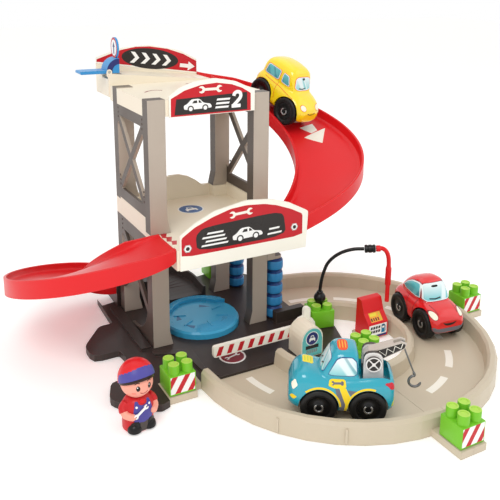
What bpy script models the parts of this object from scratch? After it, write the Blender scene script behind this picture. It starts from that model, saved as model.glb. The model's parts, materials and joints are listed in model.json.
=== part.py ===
"""Toy garage with two decks, two red slides, a turntable, a wash lane, a ring road,
a fuel pump, three vehicles and a figure. Lengths in metres, +Z up.

The origin is the centre of the tower, on the surface that the toy stands on.
+X is the tower's right, +Y its rear.
"""
import math

import bmesh
import bpy
from mathutils import Matrix, Vector

# Fits
GAP = 0.0003
RUNNING_GAP = 0.0004
SHELL = 0.003

# Tower
TOWER_WIDTH = 0.157
TOWER_DEPTH = 0.126
COLUMN_WIDTH = 0.0213
COLUMN_DEPTH = 0.0164
PANEL = 0.004
BRACE_WIDTH = 0.009
BASE_TOP = 0.008
DECK_1_TOP = 0.153
DECK_2_TOP = 0.312
DECK_PLATE = 0.006
DECK_2_APRON = 0.019
BORDER_THICKNESS = 0.005
BORDER_HEIGHT = 0.018
REAR_KERB = 0.015
GIRDER_HEIGHT = 0.013
FOOT_FLARE = 0.004
WEB_HEIGHT = 0.047
WEB_REACH = 0.066

# Lanes and slides
LANE_WIDTH = 0.057
FRONT_LANE_LEFT = -0.069
FRONT_LANE_RIGHT = 0.098
FASCIA_DROP = 0.024
START_LANE_LEFT = -0.080
START_LANE_RIGHT = 0.066
START_LANE_OFFSET = 0.011
START_LANE_RISE = 0.015
START_LANE_BOTTOM = 0.297
START_WALL = 0.0027
SIGN_THICKNESS = 0.0027
SLIDE_WALL = 0.003
SLIDE_SIDE_GAP = 0.0010
SLIDE_STEPS = 18
UPPER_SLIDE_REACH = 0.158
UPPER_SLIDE_INNER_REACH = 0.060
UPPER_SLIDE_RIM = 0.013
UPPER_SLIDE_SKIRT = 0.006
LOWER_SLIDE_REACH = 0.158
LOWER_SLIDE_INNER_REACH = 0.058
LOWER_SLIDE_RIM = 0.009
LOWER_SLIDE_SKIRT = 0.013
LOWER_SLIDE_END_X = -0.083
LOWER_SLIDE_END_Y = 0.095
LOWER_SLIDE_END_Z = 0.040

# Base and rear ramp
TURNTABLE_X = 0.002
TURNTABLE_Y = -0.024
TURNTABLE_RADIUS = 0.0495
TURNTABLE_TOP = 0.017
TURNTABLE_RIM = 0.004
TURNTABLE_PIVOT_RADIUS = 0.004
RAMP_CENTRE_X = -0.030
RAMP_CENTRE_Y = 0.060
RAMP_INNER_RADIUS = 0.006
RAMP_WALL = 0.003
RAMP_WALL_HEIGHT = 0.010
RAMP_END_TOP = 0.0175

# Ring road
RING_X = 0.128
RING_Y = -0.157
RING_RADIUS = 0.186
RING_WALL = 0.011
RING_HOLE_RADIUS = 0.0796
RING_HEIGHT = 0.024
ROAD_TOP = 0.005
ROAD_PLATE = 0.0025
RING_STEPS = 10
LOCK_LENGTH = 0.040
LOCK_WIDTH = 0.033

# Building bricks
BRICK_WIDTH = 0.0307
BRICK_DEPTH = 0.0299
BRICK_HEIGHT = 0.0232
BRICK_WALL = 0.002
STUD_RADIUS = 0.00625
STUD_HEIGHT = 0.011
STUD_PITCH = 0.0152
CENTRE_STUD_HEIGHT = 0.0067

# Wash rollers
ROLLER_X = TOWER_WIDTH / 2 + 0.015
ROLLER_Y = 0.055
ROLLER_RADIUS = 0.0120
ROLLER_BOTTOM = 0.0085
ROLLER_TOP = 0.092
ROLLER_RIBS = 5
ROLLER_PIN_RADIUS = 0.0025
BRACKET_THICKNESS = 0.004

# Ticket booth and barrier
BOOTH_X = 0.0815
BOOTH_FRONT = -0.168
BOOTH_WIDTH = 0.030
BOOTH_DEPTH = 0.0285
BOOTH_HEIGHT = 0.038
BARRIER_X = 0.0885
BARRIER_Z = 0.029
BARRIER_REACH = 0.1225
BARRIER_HEIGHT = 0.014
BARRIER_THICKNESS = 0.005
BARRIER_HUB_RADIUS = 0.0165
BARRIER_TAB_WIDTH = 0.009
BARRIER_TAB_TOP = 0.028
BARRIER_PIN_RADIUS = 0.0035

# Fuel pump and its hose arm
PUMP_X = 0.1865
PUMP_FRONT = -0.160
PUMP_WIDTH = 0.031
PUMP_DEPTH = 0.027
PUMP_FOOT = 0.003
PUMP_HEIGHT = 0.048
PUMP_FRONT_HEIGHT = 0.020
HOSE_BALL_RADIUS = 0.0077
HOSE_STEM_RADIUS = 0.0039
HOSE_NECK_TOP = 0.0088
HOSE_NECK_RADIUS = 0.0042
COUPLER_LENGTH = 0.014
HOSE_RADIUS = 0.0022
COUPLER_RADIUS = 0.0052
NOZZLE_RADIUS = 0.0028
NOZZLE_GRIP_RADIUS = 0.0038

# Start lever
LEVER_X = -0.0780
LEVER_Z = 0.3290
LEVER_Y = 0.0885
LEVER_WIDTH = 0.024
LEVER_TAB = 0.037
LEVER_TAB_THICKNESS = 0.004
LEVER_QUARTER = 0.017
LEVER_PIN_RADIUS = 0.0015
SIGN_DISC_RADIUS = 0.0134
LEVER_STEP = 0.014
SIGN_DISC_Z = 0.3585

# Vehicles
WHEEL_RADIUS = 0.019
WHEEL_WIDTH = 0.012
HUB_RADIUS = 0.0115
WHEELBASE = 0.050
TRACK = 0.042
AXLE_RADIUS = 0.002
AXLE_CLEARANCE = 0.0004
ARCH_CLEARANCE = 0.0015
CHASSIS_WIDTH = 0.026
CHASSIS_BOTTOM = 0.008
CHASSIS_TOP = 0.014

# Figure
FIGURE_X = -0.142
FIGURE_Y = -0.1855
FIGURE_TURN = math.radians(9)
FIGURE_SIDES = 12
HEAD_Z = 0.0500
HEAD_RADIUS = 0.0165
NECK_Z = 0.036
CAP_LOW = 0.0602

# Where the bricks stand
LEFT_BRICK_X, LEFT_BRICK_Y = RING_X - RING_RADIUS - 0.0265, -0.1535
INNER_BRICK_X, INNER_BRICK_Y = RING_X, -0.2077
REAR_BRICK_X, REAR_BRICK_Y = 0.0825, 0.1050
CENTRE_BRICK_X, CENTRE_BRICK_Y = 0.1360, -0.1010
CENTRE_BRICK_TURN = math.radians(-12)

# Hose arm: its stem stands between the centre brick's four studs and its ball rests on them
CENTRE_BRICK_TOP = BASE_TOP + GAP + BRICK_HEIGHT
HOSE_SEAT_RADIUS = STUD_PITCH / math.sqrt(2) - STUD_RADIUS
HOSE_Z = (CENTRE_BRICK_TOP + CENTRE_STUD_HEIGHT + GAP
          + math.sqrt(HOSE_BALL_RADIUS ** 2 - HOSE_SEAT_RADIUS ** 2))
HOSE_ROUTE = [(0.1365, -0.1013, 0.060), (0.1374, -0.1020, 0.0695), (0.1394, -0.1034, 0.080),
              (0.1430, -0.1060, 0.092), (0.1496, -0.1108, 0.1018), (0.1585, -0.1172, 0.1091),
              (0.1694, -0.1250, 0.1136), (0.1800, -0.1327, 0.1149)]
NOZZLE_ROUTE = [(0.2025, -0.1487, 0.1130), (0.2050, -0.1503, 0.1060), (0.2058, -0.1510, 0.0960),
                (0.2058, -0.1510, 0.0780),
                (0.2058, -0.1510, 0.0640), (0.2058, -0.1510, 0.0450)]
NOZZLE_GRIP_TOP = 0.092
NOZZLE_GRIP_BOTTOM = 0.068

# Truck crane, in the truck's own frame
TRUCK_BED_FLOOR = 0.040
CRANE_X = -0.030
CRANE_HALF = 0.011
WINCH_Z = 0.0625
WINCH_RADIUS = 0.0085
WINCH_WIDTH = 0.003
WINCH_PIN_RADIUS = 0.002
HOOK_RADIUS = 0.0062
BOOM_X = -0.029
BOOM_Z = 0.0660
BOOM_LENGTH = 0.034
BOOM_RAKE = math.radians(25)
HOOK_DROP = 0.037
HOOK_LEAN = 0.015

# Where the vehicles stand
YELLOW_LIFT = 0.0041
YELLOW_X = 0.158
YELLOW_Y = 0.052
YELLOW_HEADING = -72
ROAD_MIDDLE = (RING_RADIUS + RING_HOLE_RADIUS) / 2
RED_X, RED_Y, RED_HEADING = RING_X + ROAD_MIDDLE - 0.0015, RING_Y - 0.0100, -97
TRUCK_ANGLE = math.radians(235.9)
TRUCK_OFFSET = -0.0032
TRUCK_X = RING_X + (ROAD_MIDDLE - TRUCK_OFFSET) * math.cos(TRUCK_ANGLE)
TRUCK_Y = RING_Y + (ROAD_MIDDLE - TRUCK_OFFSET) * math.sin(TRUCK_ANGLE)
TRUCK_HEADING = 149.0

# Vehicle forms: stations of x, half width, low, high and squareness
CAR_BODY = [
    (-0.047, 0.012, 0.020, 0.034, 2.5), (-0.0445, 0.020, 0.014, 0.041, 3),
    (-0.036, 0.0245, 0.0105, 0.047, 3.2), (-0.018, 0.026, 0.010, 0.048, 3.4),
    (0.000, 0.026, 0.010, 0.047, 3.4), (0.018, 0.026, 0.010, 0.046, 3.4),
    (0.034, 0.0255, 0.0105, 0.043, 3.2), (0.0445, 0.024, 0.0125, 0.038, 3),
    (0.0495, 0.019, 0.0155, 0.032, 2.6),
]
CAR_CABIN = [
    (-0.036, 0.014, 0.034, 0.044, 2.5), (-0.030, 0.0185, 0.034, 0.056, 2.8),
    (-0.018, 0.021, 0.034, 0.066, 3), (-0.004, 0.0215, 0.034, 0.0695, 3),
    (0.008, 0.021, 0.034, 0.067, 3), (0.018, 0.019, 0.034, 0.055, 2.8),
    (0.026, 0.015, 0.034, 0.043, 2.5),
]
WAGON_BODY = [
    (-0.047, 0.014, 0.018, 0.038, 2.8), (-0.044, 0.021, 0.013, 0.045, 3),
    (-0.034, 0.0245, 0.0105, 0.050, 3.2), (-0.016, 0.026, 0.010, 0.050, 3.4),
    (0.000, 0.026, 0.010, 0.049, 3.4), (0.018, 0.026, 0.010, 0.048, 3.4),
    (0.034, 0.0255, 0.0105, 0.044, 3.2), (0.045, 0.0225, 0.013, 0.037, 3),
    (0.0505, 0.015, 0.016, 0.031, 2.5),
]
WAGON_CABIN = [
    (-0.043, 0.015, 0.036, 0.060, 3), (-0.038, 0.0195, 0.036, 0.068, 3.2),
    (-0.024, 0.0215, 0.036, 0.0735, 3.2), (-0.006, 0.022, 0.036, 0.075, 3.2),
    (0.008, 0.0215, 0.036, 0.073, 3.2), (0.014, 0.020, 0.036, 0.066, 3),
    (0.024, 0.017, 0.036, 0.046, 2.8),
]
TRUCK_BODY = [
    (-0.052, 0.016, 0.018, 0.044, 3), (-0.0495, 0.022, 0.013, 0.051, 3.2),
    (-0.040, 0.0245, 0.0105, 0.054, 3.6), (-0.014, 0.0255, 0.010, 0.052, 3.6),
    (0.006, 0.0255, 0.010, 0.051, 3.6), (0.024, 0.0255, 0.010, 0.053, 3.6),
    (0.040, 0.0255, 0.0105, 0.057, 3.4), (0.050, 0.023, 0.013, 0.052, 3.2),
    (0.056, 0.016, 0.016, 0.040, 2.8),
]
TRUCK_CABIN = [
    (-0.0145, 0.0185, 0.038, 0.072, 3.4), (-0.012, 0.0205, 0.038, 0.0765, 3.4),
    (0.000, 0.021, 0.038, 0.078, 3.4), (0.010, 0.0205, 0.038, 0.076, 3.2),
    (0.018, 0.019, 0.038, 0.064, 3.0), (0.026, 0.016, 0.038, 0.050, 2.8),
]

# Outline of the base's free edge: x, y and corner radius
BASE_CORNERS = [
    (-0.100, 0.126, 0.012), (-0.103, 0.024, 0.004), (-0.121, 0.024, 0.012), (-0.151, -0.018, 0.020),
    (-0.150, -0.048, 0.012), (-0.117, -0.047, 0.004), (-0.115, -0.066, 0.006), (-0.130, -0.110, 0.004),
    (-0.147, -0.110, 0.010), (-0.158, -0.140, 0.014), (-0.146, -0.159, 0.012), (-0.112, -0.177, 0.006),
    (-0.1005, -0.1725, 0.002), (-0.1005, -0.1695, 0.001),
]

# Worked out from the sizes above
HALF_W = TOWER_WIDTH / 2
HALF_D = TOWER_DEPTH / 2
LANE_FRONT = -HALF_D - LANE_WIDTH + GAP
START_FRONT = HALF_D + START_LANE_OFFSET
START_REAR = START_FRONT + LANE_WIDTH - 0.002

COLOURS = {
    "cream": ((0.91, 0.87, 0.76), 0.35),
    "taupe": ((0.20, 0.15, 0.11), 0.45),
    "dark": ((0.05, 0.035, 0.03), 0.45),
    "road": ((0.62, 0.53, 0.40), 0.45),
    "red": ((0.78, 0.03, 0.03), 0.25),
    "turntable_blue": ((0.08, 0.40, 0.72), 0.35),
    "roller_blue": ((0.05, 0.22, 0.50), 0.35),
    "green": ((0.17, 0.47, 0.03), 0.35),
    "teal": ((0.02, 0.35, 0.48), 0.25),
    "yellow": ((0.90, 0.66, 0.01), 0.25),
    "black": ((0.01, 0.01, 0.01), 0.40),
    "grey": ((0.35, 0.32, 0.30), 0.40),
    "silver": ((0.60, 0.60, 0.58), 0.25),
    "navy": ((0.07, 0.06, 0.28), 0.35),
    "skin": ((0.85, 0.36, 0.26), 0.45),
}


def material(colour):
    """One Principled material per colour name, made once."""
    found = bpy.data.materials.get(colour)
    if found:
        return found
    rgb, roughness = COLOURS[colour]
    new = bpy.data.materials.new(colour)
    new.use_nodes = True
    shader = new.node_tree.nodes["Principled BSDF"]
    shader.inputs["Base Color"].default_value = (*rgb, 1.0)
    shader.inputs["Roughness"].default_value = roughness
    shader.inputs["Metallic"].default_value = 0.8 if colour == "silver" else 0.0
    return new


def solid(points_rings):
    """A closed mesh object through rings of equally many points."""
    bm = bmesh.new()
    rings = [[bm.verts.new(p) for p in ring] for ring in points_rings]
    count = len(rings[0])
    for first, second in zip(rings, rings[1:]):
        for i in range(count):
            j = (i + 1) % count
            bm.faces.new((first[i], first[j], second[j], second[i]))
    bm.faces.new(rings[0])
    bm.faces.new(list(reversed(rings[-1])))
    bmesh.ops.recalc_face_normals(bm, faces=bm.faces)
    mesh = bpy.data.meshes.new("form")
    bm.to_mesh(mesh)
    bm.free()
    new = bpy.data.objects.new("form", mesh)
    bpy.context.scene.collection.objects.link(new)
    return new


def prism(outline, low, high, axis="Z"):
    """A flat outline, extruded along one axis from low to high."""
    def place(a, b, c):
        return {"X": (c, a, b), "Y": (a, c, b), "Z": (a, b, c)}[axis]
    return solid([[place(a, b, c) for a, b in outline] for c in (low, high)])


def block(x0, x1, y0, y1, z0, z1):
    return prism([(x0, y0), (x1, y0), (x1, y1), (x0, y1)], z0, z1)


def circle(x, y, radius, steps=20):
    return [(x + radius * math.cos(2 * math.pi * i / steps), y + radius * math.sin(2 * math.pi * i / steps))
            for i in range(steps)]


def arc(x, y, radius, start, end, steps):
    """Points on an arc, angles in degrees, both ends included."""
    turns = [math.radians(start + (end - start) * i / steps) for i in range(steps + 1)]
    return [(x + radius * math.cos(t), y + radius * math.sin(t)) for t in turns]


def rounded(corners, steps=4):
    """An outline whose corners (x, y, radius) are turned into arcs."""
    points = []
    count = len(corners)
    for i in range(count):
        x, y, radius = corners[i]
        here = Vector((x, y))
        if radius <= 0:
            points.append((x, y))
            continue
        before = (Vector(corners[i - 1][:2]) - here)
        after = (Vector(corners[(i + 1) % count][:2]) - here)
        half = before.angle(after) / 2
        reach = min(radius / math.tan(half), 0.45 * before.length, 0.45 * after.length)
        first = here + before.normalized() * reach
        last = here + after.normalized() * reach
        for s in range(steps + 1):
            t = s / steps
            p = first * (1 - t) ** 2 + here * 2 * t * (1 - t) + last * t ** 2
            points.append((p.x, p.y))
    return points


def rod(radius, low, high, x=0.0, y=0.0, axis="Z", steps=20):
    """A cylinder; x and y are its centre in the plane across the axis."""
    return prism(circle(x, y, radius, steps), low, high, axis)


def turned(profile, steps=20, x=0.0, y=0.0):
    """A turned solid about the vertical line at (x, y), from (radius, z) points."""
    rings = []
    for radius, z in profile:
        r = max(radius, 0.0002)
        rings.append([(px, py, z) for px, py in circle(x, y, r, steps)])
    return solid(rings)


def apply(target, other, operation):
    """One Boolean, applied; the other object goes."""
    step = target.modifiers.new(operation, "BOOLEAN")
    step.operation = operation
    step.solver = "EXACT"
    step.object = other
    shape = bpy.data.meshes.new_from_object(target.evaluated_get(bpy.context.evaluated_depsgraph_get()))
    target.modifiers.clear()
    target.data = shape
    bpy.data.objects.remove(other)
    return target


def fuse(target, *others):
    for other in others:
        apply(target, other, "UNION")
    return target


def cut(target, *others):
    for other in others:
        apply(target, other, "DIFFERENCE")
    return target


def move(thing, matrix):
    thing.data.transform(matrix)
    return thing


def node(name, thing, colour, origin=(0, 0, 0), parent=None, sharp=30):
    """Names a finished solid, gives it its material and its origin."""
    thing.name = name
    thing.data.name = name
    thing.data.materials.clear()
    thing.data.materials.append(material(colour))
    thing.data.transform(Matrix.Translation(-Vector(origin)))
    thing.location = origin
    thing.data.shade_smooth()
    thing.data.set_sharp_from_angle(angle=math.radians(sharp))
    if parent:
        thing.parent = parent
        thing.matrix_parent_inverse = parent.matrix_world.inverted()
    return thing


def pivot(name, location):
    """An empty on a joint's axis."""
    empty = bpy.data.objects.new(name, None)
    empty.empty_display_size = 0.01
    empty.location = location
    bpy.context.scene.collection.objects.link(empty)
    bpy.context.view_layer.update()
    return empty


# Base


def base_outline():
    left = rounded(BASE_CORNERS, 2)
    hole = RING_HOLE_RADIUS - GAP
    seam = RING_Y + GAP
    lock = RING_X - RING_RADIUS - 0.010
    tab = [(lock, -0.1695, 0), (lock, seam, 0), (RING_X - math.sqrt(hole ** 2 - GAP ** 2), seam, 0),
           (RING_X - math.sqrt(hole ** 2 - 0.015 ** 2), RING_Y - 0.015, 0.002), (0.108, -0.172, 0.010),
           (0.139, -0.150, 0.006), (0.149, -0.120, 0.004), (0.158, -0.088, 0.004)]
    edge = RING_X - GAP
    rear = [(edge, RING_Y + math.sqrt(hole ** 2 - GAP ** 2), 0), (edge, 0.078, 0.004),
            (0.092, 0.126, 0.008)]
    return left + rounded(tab + rear, 2)


def garage_base():
    base = prism(base_outline(), 0, BASE_TOP)
    seat = TURNTABLE_RADIUS + 0.001
    base = cut(base, rod(seat, 0.005, 0.02, TURNTABLE_X, TURNTABLE_Y, steps=24))
    pivot_pin = turned([(TURNTABLE_PIVOT_RADIUS, 0.003), (TURNTABLE_PIVOT_RADIUS, 0.013),
                        (TURNTABLE_PIVOT_RADIUS - 0.001, 0.014)], 12, TURNTABLE_X, TURNTABLE_Y)
    rail = block(-0.094, -0.081, -0.061, 0.064, BASE_TOP - 0.001, BASE_TOP + 0.003)
    kerb_in = prism(rounded([(-0.0845, -0.071, 0.002), (-0.040, -0.089, 0.003), (-0.043, -0.135, 0),
                             (-0.035, -0.156, 0), (-0.047, -0.156, 0), (-0.052, -0.094, 0.003),
                             (-0.0845, -0.080, 0.002)], 2), BASE_TOP - 0.001, BASE_TOP + 0.003)
    wall_y = RING_Y + RING_HOLE_RADIUS
    wall = block(0.085, RING_X - GAP, wall_y, wall_y + 0.0095, BASE_TOP - 0.001, RING_HEIGHT)
    pins = [rod(ROLLER_PIN_RADIUS, BASE_TOP - 0.001, BASE_TOP + 0.006, ROLLER_X, s * ROLLER_Y, steps=8)
            for s in (-1, 1)]
    base = fuse(base, pivot_pin, rail, kerb_in, wall, *pins)
    return node("garage_base", base, "dark")


def ramp_height(distance, length):
    """The rear ramp's lane height along its middle line."""
    share = min(max(distance / length, 0), 1)
    ease = share * share * (3 - 2 * share)
    return LOWER_SLIDE_END_Z + (RAMP_END_TOP + 0.003 - LOWER_SLIDE_END_Z) * ease - 0.001


def rear_ramp():
    """A lane that leaves the lower slide, turns right and lands behind the turntable."""
    middle = RAMP_INNER_RADIUS + LANE_WIDTH / 2
    start_x = LOWER_SLIDE_END_X + GAP
    end_y = TURNTABLE_Y + TURNTABLE_RADIUS + 0.004
    straight = RAMP_CENTRE_X - start_x
    bend = middle * math.pi / 2
    final = RAMP_CENTRE_Y - end_y
    length = straight + bend + final
    stations = []
    for i in range(5):
        stations.append((start_x + straight * i / 4, RAMP_CENTRE_Y, 90, straight * i / 4))
    for i in range(1, 9):
        stations.append((RAMP_CENTRE_X, RAMP_CENTRE_Y, 90 - 90 * i / 8, straight + bend * i / 8))
    for i in range(1, 4):
        stations.append((RAMP_CENTRE_X, RAMP_CENTRE_Y - final * i / 3, 0, straight + bend + final * i / 3))
    inner = RAMP_INNER_RADIUS
    outer = RAMP_INNER_RADIUS + LANE_WIDTH
    rings = []
    for x, y, angle, distance in stations:
        z = ramp_height(distance, length)
        c, s = math.cos(math.radians(angle)), math.sin(math.radians(angle))
        top = z + RAMP_WALL_HEIGHT
        section = [(inner, BASE_TOP + GAP), (inner, z + 0.002), (inner + RAMP_WALL, z + 0.002),
                   (inner + 0.005, z),
                   (outer - 0.006, z), (outer - RAMP_WALL, top), (outer, top), (outer, BASE_TOP + GAP)]
        rings.append([(x + r * c, y + r * s, h) for r, h in section])
    return node("rear_ramp", solid(rings), "dark")


# Ring road
def ring_section():
    """The road's cross-section as (radius, height): two rounded walls, a lane and an open underside."""
    out, hole = RING_RADIUS, RING_HOLE_RADIUS
    lane_out, lane_in = out - RING_WALL - 0.002, hole + RING_WALL + 0.002
    top = RING_HEIGHT
    hollow = 0.003
    return [(hole, 0), (hole, top - 0.004), (hole + 0.003, top), (hole + RING_WALL - 0.003, top),
            (hole + RING_WALL, top - 0.003), (lane_in, ROAD_TOP), (lane_out, ROAD_TOP),
            (out - RING_WALL, top - 0.003), (out - RING_WALL + 0.003, top), (out - 0.003, top),
            (out, top - 0.004), (out, 0), (lane_out + hollow, 0), (lane_out - hollow,
                                                                   ROAD_TOP - ROAD_PLATE),
            (lane_in + hollow, ROAD_TOP - ROAD_PLATE), (lane_in - hollow, 0)]


def ring_quarter(start, end):
    """One quarter of the ring between two angles, in degrees, short of its seams by the gap."""
    section = ring_section()
    rings = []
    for i in range(RING_STEPS + 1):
        a = math.radians(start + (end - start) * i / RING_STEPS)
        c, s = math.cos(a), math.sin(a)
        rings.append([(RING_X + r * c, RING_Y + r * s, z) for r, z in section])
        if i in (0, RING_STEPS):
            inward = math.radians((start + end) / 2)
            nudge = GAP / 2 / math.sin(math.radians(abs(end - start) / 2))
            rings[-1] = [(x + nudge * math.cos(inward), y + nudge * math.sin(inward), z)
                         for x, y, z in rings[-1]]
    return solid(rings)


def wall_ribs(start, end, count):
    """Small upright ribs on the outside of the outer wall."""
    ribs = []
    for i in range(count):
        a = math.radians(start + (end - start) * (i + 0.5) / count)
        rib = block(RING_RADIUS - 0.004, RING_RADIUS + 0.0012, -0.0012, 0.0012, 0.002, RING_HEIGHT - 0.006)
        ribs.append(move(rib, Matrix.Translation((RING_X, RING_Y, 0)) @ Matrix.Rotation(a, 4, "Z")))
    return ribs


def ring_road():
    half = LOCK_WIDTH / 2
    reach = RING_RADIUS + LOCK_LENGTH
    inside = RING_RADIUS - 0.006
    rear = ring_quarter(90, 0)
    stand = block(PUMP_X - PUMP_WIDTH / 2 - 0.002, RING_X + RING_HOLE_RADIUS + 0.004, PUMP_FRONT + 0.0035,
                  PUMP_FRONT + PUMP_DEPTH + 0.004, 0, PUMP_FOOT)
    rear = fuse(rear, stand)
    node("road_quarter_rear", rear, "road")
    outside = RING_RADIUS + GAP
    node("road_lock_rear", block(RING_X + outside, RING_X + reach, RING_Y + GAP / 2, RING_Y + half, 0,
                                 BASE_TOP), "road")
    node("road_lock_right", block(RING_X + outside, RING_X + reach, RING_Y - half, RING_Y - GAP / 2, 0,
                                  BASE_TOP), "road")
    right = ring_quarter(0, -90)
    right = fuse(right, block(RING_X + GAP / 2, RING_X + half, RING_Y - reach, RING_Y - inside, 0,
                              BASE_TOP))
    inner_lock = block(RING_X + GAP / 2, INNER_BRICK_X + half, RING_Y - RING_HOLE_RADIUS - 0.004,
                       INNER_BRICK_Y + half - 0.002, 0, BASE_TOP)
    right = fuse(right, inner_lock)
    node("road_quarter_right", right, "road")
    front = ring_quarter(-90, -180)
    front = fuse(front, block(RING_X - half, RING_X - GAP / 2, RING_Y - reach, RING_Y - inside, 0,
                              BASE_TOP),
                block(INNER_BRICK_X - half, RING_X - GAP / 2, RING_Y - RING_HOLE_RADIUS - 0.004,
                      INNER_BRICK_Y + half - 0.002, 0, BASE_TOP),
                *wall_ribs(-112, -155, 2))
    node("road_quarter_front", front, "road")


# Bricks
def brick(name, x, y, floor, turn=0.0, stud=STUD_HEIGHT):
    """A four-stud brick, open below, with its studs hollow at their tops."""
    half_w, half_d = BRICK_WIDTH / 2, BRICK_DEPTH / 2
    body = block(-half_w, half_w, -half_d, half_d, 0, BRICK_HEIGHT)
    studs = [rod(STUD_RADIUS, BRICK_HEIGHT - 0.001, BRICK_HEIGHT + stud, sx * STUD_PITCH / 2,
                 sy * STUD_PITCH / 2, steps=10) for sx in (-1, 1) for sy in (-1, 1)]
    body = fuse(body, *studs)
    hollow = block(BRICK_WALL - half_w, half_w - BRICK_WALL, BRICK_WALL - half_d, half_d - BRICK_WALL,
                   -0.01, BRICK_HEIGHT - BRICK_WALL)
    body = cut(body, hollow)
    move(body, Matrix.Translation((x, y, floor + GAP)) @ Matrix.Rotation(turn, 4, "Z"))
    return node(name, body, "green")


# Tower frames
def brace(side, y0, z0, y1, z1):
    """A diagonal bar in a frame's thin outer panel."""
    run, rise = y1 - y0, z1 - z0
    length = math.hypot(run, rise)
    ny, nz = -rise / length * BRACE_WIDTH / 2, run / length * BRACE_WIDTH / 2
    outline = [(y0 - ny, z0 - nz), (y1 - ny, z1 - nz), (y1 + ny, z1 + nz), (y0 + ny, z0 + nz)]
    low, high = sorted((side * HALF_W, side * (HALF_W - PANEL)))
    return prism(outline, low, high, "X")


def column(side, front, low, high):
    """One hollow-backed column with a flared foot."""
    x0, x1 = sorted((side * HALF_W, side * (HALF_W - COLUMN_WIDTH)))
    y0, y1 = (-HALF_D, -HALF_D + COLUMN_DEPTH) if front else (HALF_D - COLUMN_DEPTH, HALF_D)
    post = block(x0, x1, y0, y1, low, high)
    inner = side * (HALF_W - COLUMN_WIDTH - FOOT_FLARE)
    toe = solid([[(side * HALF_W, y0, low), (inner, y0, low), (inner, y1, low), (side * HALF_W, y1, low)],
                 [(side * HALF_W, y0, low + 0.02), (side * (HALF_W - COLUMN_WIDTH + 0.0005), y0,
                                                    low + 0.02),
                  (side * (HALF_W - COLUMN_WIDTH + 0.0005), y1, low + 0.02),
                  (side * HALF_W, y1, low + 0.02)]])
    return fuse(post, toe)


def panel(side, y0, y1, z0, z1):
    low, high = sorted((side * HALF_W, side * (HALF_W - PANEL)))
    return prism([(y0, z0), (y1, z0), (y1, z1), (y0, z1)], low, high, "X")


def gusset(side, y, z, reach_y, reach_z):
    low, high = sorted((side * HALF_W, side * (HALF_W - PANEL)))
    return prism([(y, z), (y + reach_y, z), (y, z + reach_z)], low, high, "X")


def upper_frame(side, name):
    """Front and rear column of one side above deck 1, joined by a crossed panel."""
    inner = HALF_D - COLUMN_DEPTH
    over = inner + 0.002
    rear_foot = DECK_1_TOP + REAR_KERB + GAP
    low_plate = DECK_1_TOP + BORDER_HEIGHT + GAP
    plate_top = low_plate + 0.0135
    top = DECK_2_TOP - DECK_2_APRON - GAP
    girder = top - GIRDER_HEIGHT
    frame = column(side, True, DECK_1_TOP + GAP, DECK_2_TOP + 0.001)
    frame = fuse(frame, panel(side, -over, over, low_plate, plate_top),
                 panel(side, -over, over, girder, top),
                 column(side, False, rear_foot, DECK_2_TOP + 0.001),
                 brace(side, -over, plate_top - 0.004, over, girder + 0.004),
                 brace(side, -over, girder + 0.004, over, plate_top - 0.004),
                 gusset(side, -over, girder + 0.001, 0.012, -0.016), gusset(side, over, girder + 0.001,
                                                                            -0.012, -0.016),
                 gusset(side, -over, plate_top - 0.001, 0.012, 0.016),
                 gusset(side, over, plate_top - 0.001, -0.012, 0.016))
    return node(name, frame, "taupe")


def lower_frame(side, name, closed):
    """The side frame under deck 1: webbed and braced on the left, open for the wash lane on the right."""
    inner = HALF_D - COLUMN_DEPTH
    over = inner + 0.002
    low = BASE_TOP + GAP
    top = DECK_1_TOP - DECK_PLATE - GAP
    girder = top - GIRDER_HEIGHT - 0.004
    frame = fuse(column(side, True, low, top), panel(side, -over, over, girder, top),
                 column(side, False, low, top),
                 gusset(side, -over, girder + 0.001, 0.014, -0.014),
                 gusset(side, over, girder + 0.001, -0.014, -0.014))
    if closed:
        curve = [(-over + WEB_REACH - (WEB_REACH - 0.004) * math.sin(math.radians(a)),
                  low + WEB_HEIGHT * (1 - math.cos(math.radians(a)))) for a in range(0, 91, 15)]
        web = [(-over, low)] + curve + [(-over, low + WEB_HEIGHT)]
        x0, x1 = sorted((side * HALF_W, side * (HALF_W - PANEL)))
        frame = fuse(frame, prism(web, x0, x1, "X"),
                     brace(side, -over, low + WEB_HEIGHT - 0.006, over, girder + 0.004),
                     brace(side, -over, girder + 0.004, over, low + WEB_HEIGHT - 0.006))
    return node(name, frame, "taupe")


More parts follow.
